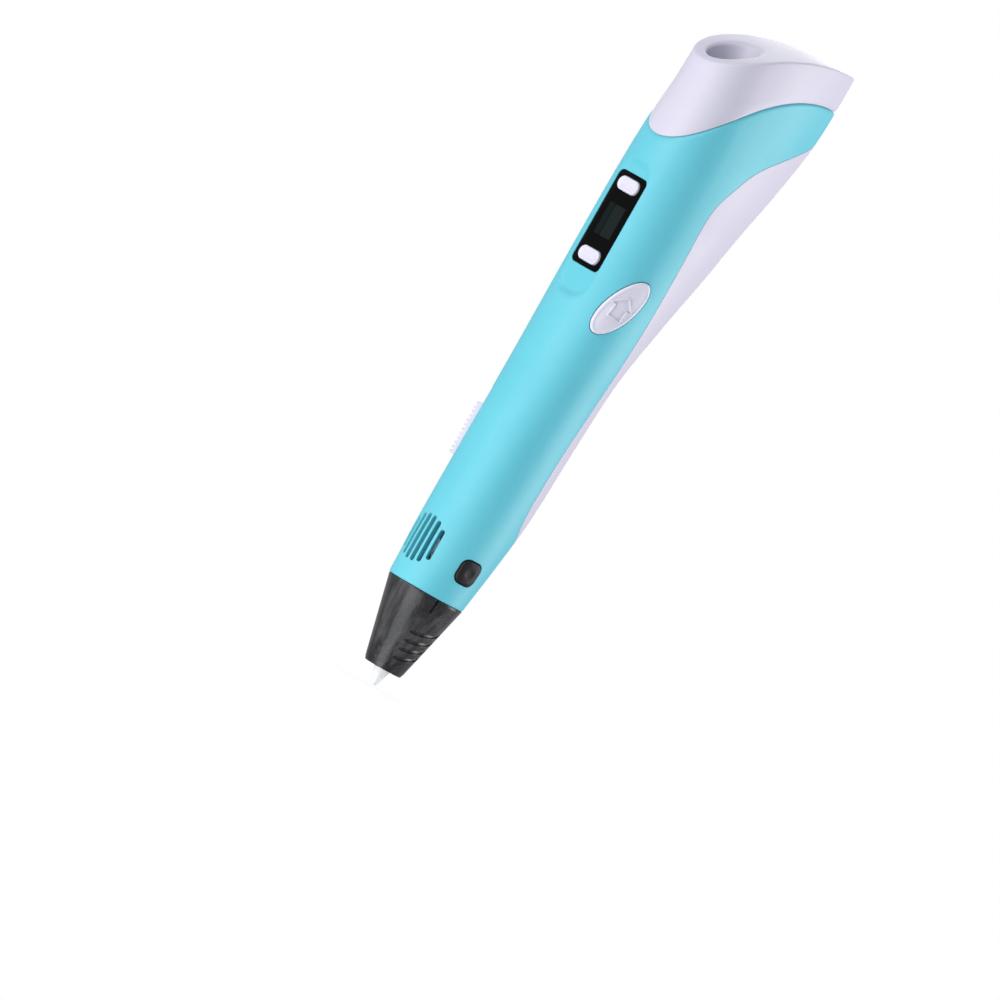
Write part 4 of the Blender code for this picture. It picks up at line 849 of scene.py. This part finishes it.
def makeTailCap():
    edge, lip, wall = tail["edge"], tail["wellEdge"], skin["wall"]
    spots = turns(skin["corners"])
    well = [(math.sin(t), -math.cos(t)) for t in spots]
    floor = endHeight(tail["wellY"]) - tail["wellDepth"]
    rings = [ringOn(capHeight, 0.0, 0.45), ringOn(capHeight, -0.06, 0.24),
             ringOn(capHeight, -0.25, tail["lipSunk"])]
    for i in range(1, 22):
        ring = []
        for t, low, high in zip(spots, rings[2], ringOn(endHeight, edge)):
            sunk = tail["lipSunk"] * max(1 - i / 5, 0) ** 2
            ring.append(skinPoint(t, low.z + (high.z - low.z) * i / 22, sunk))
        rings.append(ring)
    for i in range(9):
        turn = math.pi / 2 * i / 8
        rings.append(ringOn(endHeight, edge - edge * math.sin(turn), edge - edge * math.cos(turn)))
    border = rings[-1]
    mouthR = tail["wellR"] + lip
    for i in range(1, 25):
        share = i / 25
        ring = []
        for (sx, sy), point in zip(well, border):
            x = point.x + (sx * mouthR - point.x) * share
            y = point.y + (tail["wellY"] + sy * mouthR - point.y) * share
            ring.append(Vector((x, y, endHeight(y))))
        rings.append(ring)
    for i in range(9):
        turn = math.pi / 2 * i / 8
        radius = mouthR - lip * math.sin(turn)
        drop = lip * (1 - math.cos(turn))
        ring = []
        for sx, sy in well:
            y = tail["wellY"] + sy * radius
            ring.append(Vector((sx * radius, y, endHeight(y) - drop)))
        rings.append(ring)
    last = rings[-1]
    for share in (0.3, 0.6, 0.9):
        rings.append([Vector((p.x, p.y, p.z + (floor + 0.5 - p.z) * share)) for p in last])
    for radius, z in rounding(tail["wellR"], floor, 0.5, 4, -1) + [(3.0, floor)]:
        rings.append([Vector((sx * radius, tail["wellY"] + sy * radius, z)) for sx, sy in well])
    rings.append([Vector((0, tail["wellY"], floor))])
    under = floor - tail["floor"]
    rings.append([Vector((0, tail["wellY"], under))])
    cup = tail["wellR"] + wall - 0.4
    for radius, z in ((3.0, under), (cup, under)):
        rings.append([Vector((sx * radius, tail["wellY"] + sy * radius, z)) for sx, sy in well])
    ring = []
    for sx, sy in well:
        y = tail["wellY"] + sy * cup
        ring.append(Vector((sx * cup, y, endHeight(y) - wall - 1.4)))
    rings.append(ring)
    rings.append(ringOn(endHeight, wall + 0.4, wall))
    rings.append(ringOn(capHeight, 0.0, wall))
    cap = objectOf("tailCap", skinOf(rings, True))
    jackY, inletY = middleOf("power_jack").y, middleOf("inlet_bush").y
    mouth, inlet = circle(tail["jackR"], 48, (0, jackY)), circle(tail["inletR"], 32, (0, inletY))
    bevelled = circle(tail["jackBevelR"], 48, (0, jackY))
    carve(cap, joined([
        stack(upright(), [(mouth, under - 1), (mouth, floor - 0.35), (bevelled, floor + 0.001),
                          (bevelled, floor + 0.3)]),
        stack(upright(), [(inlet, under - 1), (inlet, floor + 0.5)])]))
    finishPiece(cap, "lilac", "pen", ["tail_cap"])


makeTailCap()
print("tail cap made")


# Nose

nose = {"tip": 4.45, "length": 21.15, "tipR": 4.95, "topR": 10.0, "wall": 1.3, "hole": 2.85,
        "slitWidth": 0.85, "slitDepth": 3.6, "slitAngle": 72.0, "groove": 0.56, "grooves": 4,
        "pitch": 2.45, "rise": 2.5, "start": 57.0, "end": 141.0, "grooveSunk": 0.22}
nozzle = {"bore": 0.35, "melt": 1.0, "tipR": 0.80, "seatR": 2.80, "stemR": 3.0, "seatUp": 2.2}


def coneRadius(z):
    return nose["tipR"] + (z - nose["tip"]) / nose["length"] * (nose["topR"] - nose["tipR"])


def grooveTool(start, side):
    steps = 26
    path, radii = [], []
    for step in range(steps + 1):
        share = step / steps
        z = start + nose["rise"] * share ** 1.6
        out = outward(side * (nose["start"] + share * (nose["end"] - nose["start"])))
        path.append(out * (coneRadius(z) - nose["grooveSunk"]) + Vector((0, 0, z)))
        radii.append(nose["groove"] * min(1.0, 0.25 + 5 * share, 0.25 + 5 * (1 - share)))
    return tubeAlong(path, radii, 10)


def makeNose():
    low, high = nose["tip"], nose["tip"] + nose["length"]
    hole = nose["hole"]
    seat = skin["collarZ"] - neck["length"] - 0.3
    inner = neck["radius"] + 0.15
    profile = [(hole, low + 0.25), (hole + 0.25, low)]
    profile += [(nose["tipR"] - 0.45 + 0.45 * math.sin(t), low + 0.45 - 0.45 * math.cos(t))
                for t in (math.pi / 2 * i / 5 for i in range(6))]
    for i in range(1, 40):
        z = low + 0.5 + (high - 0.35 - low - 0.5) * i / 40
        profile.append((coneRadius(z), z))
    profile += rounding(coneRadius(high - 0.05), high, 0.12)
    profile += [(inner + 0.1, high), (inner, high - 0.1), (inner, seat),
                (coneRadius(seat) - 1.9, seat), (coneRadius(low + 2) - nose["wall"], low + 2),
                (hole, low + nose["wall"])]
    cone = objectOf("noseCone", turned(upright(), profile, 144, True))
    tools = []
    for side in (-1, 1):
        slit = [(-nose["slitWidth"] / 2, high - nose["slitDepth"]),
                (nose["slitWidth"] / 2, high - nose["slitDepth"]),
                (nose["slitWidth"] / 2, high + 1), (-nose["slitWidth"] / 2, high + 1)]
        tools.append(stack(facing(side * nose["slitAngle"]), [(slit, inner - 1), (slit, 14)]))
        tools += [grooveTool(low + 4.0 + i * nose["pitch"], side) for i in range(nose["grooves"])]
    carve(cone, joined(tools))
    finishPiece(cone, "grip", "pen", ["nose_cone"])


def makeNozzle():
    # taper outside, shoulder and straight stem inside the nose, bore for the melted plastic
    high = boxOf("ceramic_nozzle")[1].z
    bore, melt, tipR, stemR = (nozzle[name] for name in ("bore", "melt", "tipR", "stemR"))
    base, top = 0.16, nose["tip"] + nozzle["seatUp"]
    profile = [(bore, 0.06), (0.42, 0.0), (0.62, 0.0), (0.74, 0.05), (tipR, base)]
    profile += [(tipR + (nozzle["seatR"] - tipR) * i / 12, base + (top - base) * i / 12)
                for i in range(1, 13)]
    profile += [(stemR - 0.05, top + 0.3), (stemR, top + 0.6), (stemR, high - 0.3),
                (stemR - 0.3, high), (melt + 0.3, high), (melt, high - 0.3), (melt, 2.8),
                (bore, 1.3)]
    piece = objectOf("ceramicNozzle", turned(upright(), profile, 72, True))
    finishPiece(piece, "ceramic", "pen", ["ceramic_nozzle"])


makeNose()
makeNozzle()
print("nose made")


# Display window and its keys

key = {"length": 8.0, "height": 3.6, "proud": 0.6, "dish": 0.2, "gap": 0.14,
       "nodes": ("temp_up_key", "temp_down_key")}


def keyOutline(wider=0.0, taller=0.0):
    return rounded(key["length"] + wider, key["height"] + taller, 9, 12)


def makeDisplay():
    place = facing(0, display["z"])
    face, back = display["face"], display["face"] - display["thick"]
    width, length, corner = display["width"], display["length"], display["corner"]
    levels = [(rounded(width, length, corner), back)]
    for inset, height in rounding(0, face, 0.10, 3):
        levels.append((rounded(width + 2 * inset, length + 2 * inset, corner + inset), height))
    window = objectOf("displayWindow", stack(place, levels))
    tools = []
    for node in key["nodes"]:
        spot = facing(0, middleOf(node).z)
        hole = keyOutline(2 * key["gap"], 2 * key["gap"])
        tools.append(stack(spot, [(hole, back - 1), (hole, face + 1)]))
    carve(window, joined(tools))
    finishPiece(window, "window", "pen", ["display_window"])
    for node in key["nodes"]:
        spot = facing(0, middleOf(node).z)
        low = -boxOf(node)[1].y
        top = face + key["proud"]
        stem, flange = rounded(2.2, 2.2, 2, 12), keyOutline(0.9, 0.3)
        levels = [(stem, low), (stem, back - 0.9), (flange, back - 0.9), (flange, back - 0.3),
                  (keyOutline(), back - 0.3)]
        for inset, height in rounding(0, top, 0.34, 6):
            levels.append((keyOutline(2 * inset, 2 * inset), height))
        for inset, drop in ((0.50, 0.02), (0.66, 0.08), (0.85, 0.13), (1.2, key["dish"]),
                            (1.6, key["dish"] + 0.02)):
            levels.append((keyOutline(-2 * inset, -2 * inset), top - drop))
        piece = objectOf(node + "Cap", stack(spot, levels))
        finishPiece(piece, "lilacKey", node, [node])


makeDisplay()
print("display made")


# Side buttons. Their faces follow the skin, moved outwards.

def onSkin(settings, x, y, height):
    out = reach(settings["angle"], settings["z"] + y, settings["across"] + x)
    place = facing(settings["angle"], settings["z"], settings["across"])
    return place @ Vector((x, y, out + height))


def skinCap(settings, outlineOf, steps, low, flange):
    # closed cap: stem, flange inside the shell, side wall, then rings over its face
    place = facing(settings["angle"], settings["z"], settings["across"])
    count = len(outlineOf(0))
    stem = [(1.1 * math.cos(t), 1.1 * math.sin(t)) for t in turns(count)]
    rings = [[place @ Vector((x, y, low)) for x, y in stem],
             [place @ Vector((x, y, flange - 0.8)) for x, y in stem],
             [place @ Vector((x, y, flange - 0.8)) for x, y in outlineOf(-0.65)],
             [place @ Vector((x, y, flange)) for x, y in outlineOf(-0.65)],
             [place @ Vector((x, y, flange)) for x, y in outlineOf(0)]]
    for inset, height in steps:
        rings.append([onSkin(settings, x, y, height) for x, y in outlineOf(inset)])
    rings.append([onSkin(settings, 0, 0, steps[-1][1])])
    return skinOf(rings)


arrow = {"length": 6.1, "wide": 6.3, "stem": 3.5, "head": 3.0, "line": 0.27, "lift": 0.12,
         "tilt": 8.0}


def arrowLine():
    # outline of an arrow that points to the tail, with points close together
    tip, low = arrow["length"] / 2, -arrow["length"] / 2
    shoulder = tip - arrow["head"]
    half, stem = arrow["wide"] / 2, arrow["stem"] / 2
    corners = [(0, tip), (half, shoulder), (stem, shoulder), (stem, low), (-stem, low),
               (-stem, shoulder), (-half, shoulder)]
    lean = math.radians(arrow["tilt"])
    line = []
    for (ax, ay), (bx, by) in zip(corners, corners[1:] + corners[:1]):
        for i in range(8):
            share = i / 8
            x, y = ax + (bx - ax) * share, ay + (by - ay) * share
            line.append((x * math.cos(lean) + y * math.sin(lean),
                         y * math.cos(lean) - x * math.sin(lean)))
    return line


def makeUnloadButton():
    proud = unload["proud"]
    faces = [(0.0, -0.6), (0.0, proud - 0.42), (0.08, proud - 0.22), (0.24, proud - 0.06),
             (0.45, proud), (0.62, proud - 0.01), (0.76, proud - 0.07), (0.9, proud - 0.13),
             (1.1, proud - 0.15), (1.6, proud - 0.14), (2.2, proud - 0.12), (2.8, proud - 0.11),
             (3.3, proud - 0.11)]

    def outlineOf(inset):
        return oval(unload["width"] - 2 * inset, unload["height"] - 2 * inset, unload["tilt"])

    mesh = skinCap(unload, outlineOf, faces, unload["stemLow"], unload["flangeTop"])
    line = arrowLine()
    path = [onSkin(unload, x, y, proud - 0.11 + arrow["lift"]) for x, y in line]
    ridge = tubeAlong(path, [arrow["line"]] * len(path), 8, True)
    piece = objectOf("unloadButton", joined([mesh, ridge]))
    finishPiece(piece, "lilacKey", "unload_button", ["unload_button"], 40)


def makeFeedButton():
    proud = feed["proud"]
    feedBack = boxOf("feed_switch")[1].x + 0.6
    faces = [(0.0, -0.6), (0.0, proud - 0.4), (0.10, proud - 0.16), (0.32, proud),
             (0.7, proud + 0.05), (1.2, proud + 0.08), (1.6, proud + 0.08), (1.9, proud + 0.02),
             (2.2, proud - 0.06), (2.6, proud - 0.10)]

    def outlineOf(inset):
        side = feed["size"] - 2 * inset
        corner = max(feed["corner"] - inset * 0.4, min(1.2 * inset, side / 2))
        return rounded(side, side, corner, 8)

    mesh = skinCap(feed, outlineOf, faces, feedBack, feedBack + 0.9)
    piece = objectOf("feedButton", mesh)
    finishPiece(piece, "blackButton", "feed_button", ["feed_button"], 40)


makeUnloadButton()
makeFeedButton()
print("side buttons made")


# Speed slider: a ribbed knob on a stem

def makeSlider():
    floor = trackFloor()
    base, top = floor + 0.12, floor + slider["trackDepth"] + slider["proud"]
    half, pitch = slider["length"] / 2, slider["length"] / slider["ribs"]
    line = [(-half, base)]
    for i in range(slider["ribs"]):
        left = -half + i * pitch
        for share, drop in ((0.08, 0.75), (0.16, 0.62), (0.26, 0.14), (0.36, 0.02), (0.5, 0.0),
                            (0.64, 0.02), (0.74, 0.14), (0.84, 0.62), (0.92, 0.75)):
            line.append((left + share * pitch, top - drop))
    line.append((half, base))
    out = outward(slider["angle"])
    right = Vector((0, 0, 1)).cross(out)
    rings = []
    for side, inset in ((-1, 0.35), (-1, 0.1), (-0.93, 0), (0.93, 0), (1, 0.1), (1, 0.35)):
        wide = side * slider["width"] / 2
        ring = []
        for up, height in line:
            lowered = max(base, height - inset) if height > base else base
            ring.append(right * wide + out * lowered + Vector((0, 0, slider["z"] + up)))
        rings.append(ring)
    knob = skinOf(rings)
    low = reach(slider["angle"], slider["z"], 0, skin["wall"]) - 1.1
    stem = rounded(slider["stemWidth"], slider["stemLength"], 0.3)
    piece = objectOf("speedSlider", joined([
        knob, stack(facing(slider["angle"], slider["z"]), [(stem, low), (stem, base + 0.4)])]))
    finishPiece(piece, "lilac", "speed_slider", ["speed_slider"], 40)


makeSlider()
print("slider made")


# Inner pieces keep the CAD shape, with merged corners and softened edges

inner = {
    "nozzle_holder": ("darkPlastic", "black_plastic", 0.15),
    "heater_sleeve": ("brass", "brass", 0.1),
    "insulation_wrap": ("wrap", "glass_fibre", 0.1), "heat_sensor": ("steel", "steel", 0.0),
    "guide_tube": ("tube", "milky_tube", 0.1), "feed_tube": ("tube", "milky_tube", 0.1),
    "inlet_bush": ("brass", "brass", 0.08), "feed_frame": ("greyNylon", "grey_nylon", 0.15),
    "feed_screw": ("brass", "brass", 0.0), "feed_gear": ("brass", "brass", 0.06),
    "output_shaft": ("steel", "steel", 0.1), "motor_pinion": ("steel", "steel", 0.06),
    "gearbox": ("brass", "brass", 0.2), "motor_can": ("steel", "steel", 0.3),
    "motor_end_cap": ("darkPlastic", "black_plastic", 0.2),
    "idler_lever": ("greyNylon", "grey_nylon", 0.12), "lever_pin": ("steel", "steel", 0.1),
    "idler_pin": ("steel", "steel", 0.1), "idler_bearing": ("steel", "steel", 0.06),
    "idler_spring": ("steel", "steel", 0.0), "main_board": ("board", "circuit_board", 0.08),
    "display_panel": ("panel", "display_panel", 0.08),
    "temp_up_switch": ("darkPlastic", "black_plastic", 0.1),
    "temp_down_switch": ("darkPlastic", "black_plastic", 0.1),
    "unload_switch": ("darkPlastic", "black_plastic", 0.1),
    "unload_board": ("board", "circuit_board", 0.08),
    "feed_switch": ("darkPlastic", "black_plastic", 0.1),
    "feed_board": ("board", "circuit_board", 0.08),
    "slide_potentiometer": ("darkPlastic", "black_plastic", 0.15),
    "power_jack": ("darkPlastic", "black_plastic", 0.15), "jack_pin": ("steel", "steel", 0.1),
    "fan_housing": ("darkPlastic", "black_plastic", 0.12),
    "fan_rotor": ("greyNylon", "grey_nylon", 0.08),
}


def makeInner():
    for node, (material, slot, edge) in inner.items():
        source = frame["nodes"][node]
        mesh = bmesh.new()
        mesh.from_mesh(source.data)
        bmesh.ops.remove_doubles(mesh, verts=mesh.verts, dist=0.000004)
        bmesh.ops.dissolve_limit(mesh, angle_limit=math.radians(1.0), verts=mesh.verts,
                                 edges=mesh.edges)
        bmesh.ops.recalc_face_normals(mesh, faces=mesh.faces)
        bmesh.ops.scale(mesh, vec=(1 / mm,) * 3, verts=mesh.verts)
        piece = objectOf(node + "Piece", mesh)
        if edge:
            modifier = piece.modifiers.new("softEdge", "BEVEL")
            modifier.width, modifier.segments = edge * mm, 2
            modifier.limit_method, modifier.angle_limit = "ANGLE", math.radians(40)
            settle(piece)
        body = source["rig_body"]
        finishPiece(piece, material, body, [node], 36)


makeInner()
print("inner pieces finished")


# Camera, light and floor

shot = {"azimuth": 50.0, "elevation": 1.2, "roll": 29.54, "distance": 3800.0, "frame": 240.4,
        "acrossAim": 4.68, "upAim": 53.6}


def makeCamera():
    turn, lift, roll = (math.radians(shot[name]) for name in ("azimuth", "elevation", "roll"))
    back = Vector((math.sin(turn) * math.cos(lift), -math.cos(turn) * math.cos(lift),
                   math.sin(lift)))
    right = Vector((math.cos(turn), math.sin(turn), 0))
    up = back.cross(right)
    aim = right * shot["acrossAim"] + Vector((0, 0, shot["upAim"]))
    data = bpy.data.cameras.new("camera")
    camera = bpy.data.objects.new("camera", data)
    bpy.context.scene.collection.objects.link(camera)
    data.sensor_width = 36
    data.lens = 36 * shot["distance"] / shot["frame"]
    data.clip_start, data.clip_end = 0.1, 30
    x = right * math.cos(roll) + up * math.sin(roll)
    y = up * math.cos(roll) - right * math.sin(roll)
    spot = (aim + back * shot["distance"]) * mm
    camera.matrix_world = Matrix(((x.x, y.x, back.x, spot.x), (x.y, y.y, back.y, spot.y),
                                  (x.z, y.z, back.z, spot.z), (0, 0, 0, 1)))
    bpy.context.scene.camera = camera


# name: azimuth, elevation, distance, width, height, power, colour
lights = {
    "keyFront": (-12, 14, 540, 420, 560, 1.75, (1.0, 1.0, 1.0)),
    "gripFront": (18, -24, 300, 220, 150, 0.14, (1.0, 1.0, 1.0)),
    "fillLow": (20, -48, 560, 360, 300, 1.0, (0.97, 0.99, 1.0)),
    "rimBack": (150, 8, 520, 240, 560, 2.1, (1.0, 0.99, 1.0)),
    "backSoft": (232, 20, 560, 300, 420, 0.9, (1.0, 1.0, 1.0)),
    "overhead": (60, 78, 520, 300, 300, 0.25, (1.0, 1.0, 1.0)),
}


def makeLights():
    aim = Vector((0, 4, 100))
    for name, (azimuth, elevation, distance, width, height, power, colour) in lights.items():
        turn, lift = math.radians(azimuth), math.radians(elevation)
        back = Vector((math.sin(turn) * math.cos(lift), -math.cos(turn) * math.cos(lift),
                       math.sin(lift)))
        data = bpy.data.lights.new(name, "AREA")
        data.shape, data.size, data.size_y = "RECTANGLE", width * mm, height * mm
        data.energy, data.color = power, colour
        lamp = bpy.data.objects.new(name, data)
        lamp.location = (aim + back * distance) * mm
        lamp.rotation_mode = "QUATERNION"
        lamp.rotation_quaternion = (-back).to_track_quat("-Z", "Y")
        lamp.visible_camera = False
        bpy.context.scene.collection.objects.link(lamp)


def makeWorld():
    # the camera sees white, the pen is lit by a softer grey
    world = bpy.data.worlds.new("studio")
    bpy.context.scene.world = world
    world.use_nodes = True
    tree = world.node_tree
    tree.nodes.clear()
    rays = tree.nodes.new("ShaderNodeLightPath")
    seen, soft = (tree.nodes.new("ShaderNodeBackground") for _ in range(2))
    seen.inputs["Color"].default_value = (1, 1, 1, 1)
    soft.inputs["Color"].default_value = (0.93, 0.95, 1.0, 1)
    soft.inputs["Strength"].default_value = 0.5
    choice = tree.nodes.new("ShaderNodeMixShader")
    out = tree.nodes.new("ShaderNodeOutputWorld")
    tree.links.new(rays.outputs["Is Camera Ray"], choice.inputs[0])
    tree.links.new(soft.outputs[0], choice.inputs[1])
    tree.links.new(seen.outputs[0], choice.inputs[2])
    tree.links.new(choice.outputs[0], out.inputs[0])
    bpy.context.scene.view_settings.view_transform = "Standard"


def makeFloor():
    # pale sheet under the tip that fades out before its edge
    graph = Graph("paleFloor", Base_Color=(0.92, 0.92, 0.93, 1), Roughness=0.9,
                  Specular_IOR_Level=0.1)
    distance = graph.node("ShaderNodeVectorMath", {"operation": "LENGTH"}, {0: graph.place()},
                          "Value")
    graph.feed("Alpha", graph.spread(distance, 0.002, 0.02, 0.08, 0.0))
    graph.feed("Normal", graph.bump(graph.noise(400), 0.00002))
    rings = [[Vector((0, 0, 0))]]
    rings += [[Vector((r * math.cos(t), r * math.sin(t), 0)) for t in turns(64)]
              for r in (8, 20, 34)]
    floor = objectOf("floor", skinOf(rings, lids=False))
    floor.location.z = boxOf("ceramic_nozzle")[0].z * mm - 0.0006
    floor.data.materials.append(graph.material)


makeCamera()
makeLights()
makeWorld()
makeFloor()
print("camera, light and floor made")
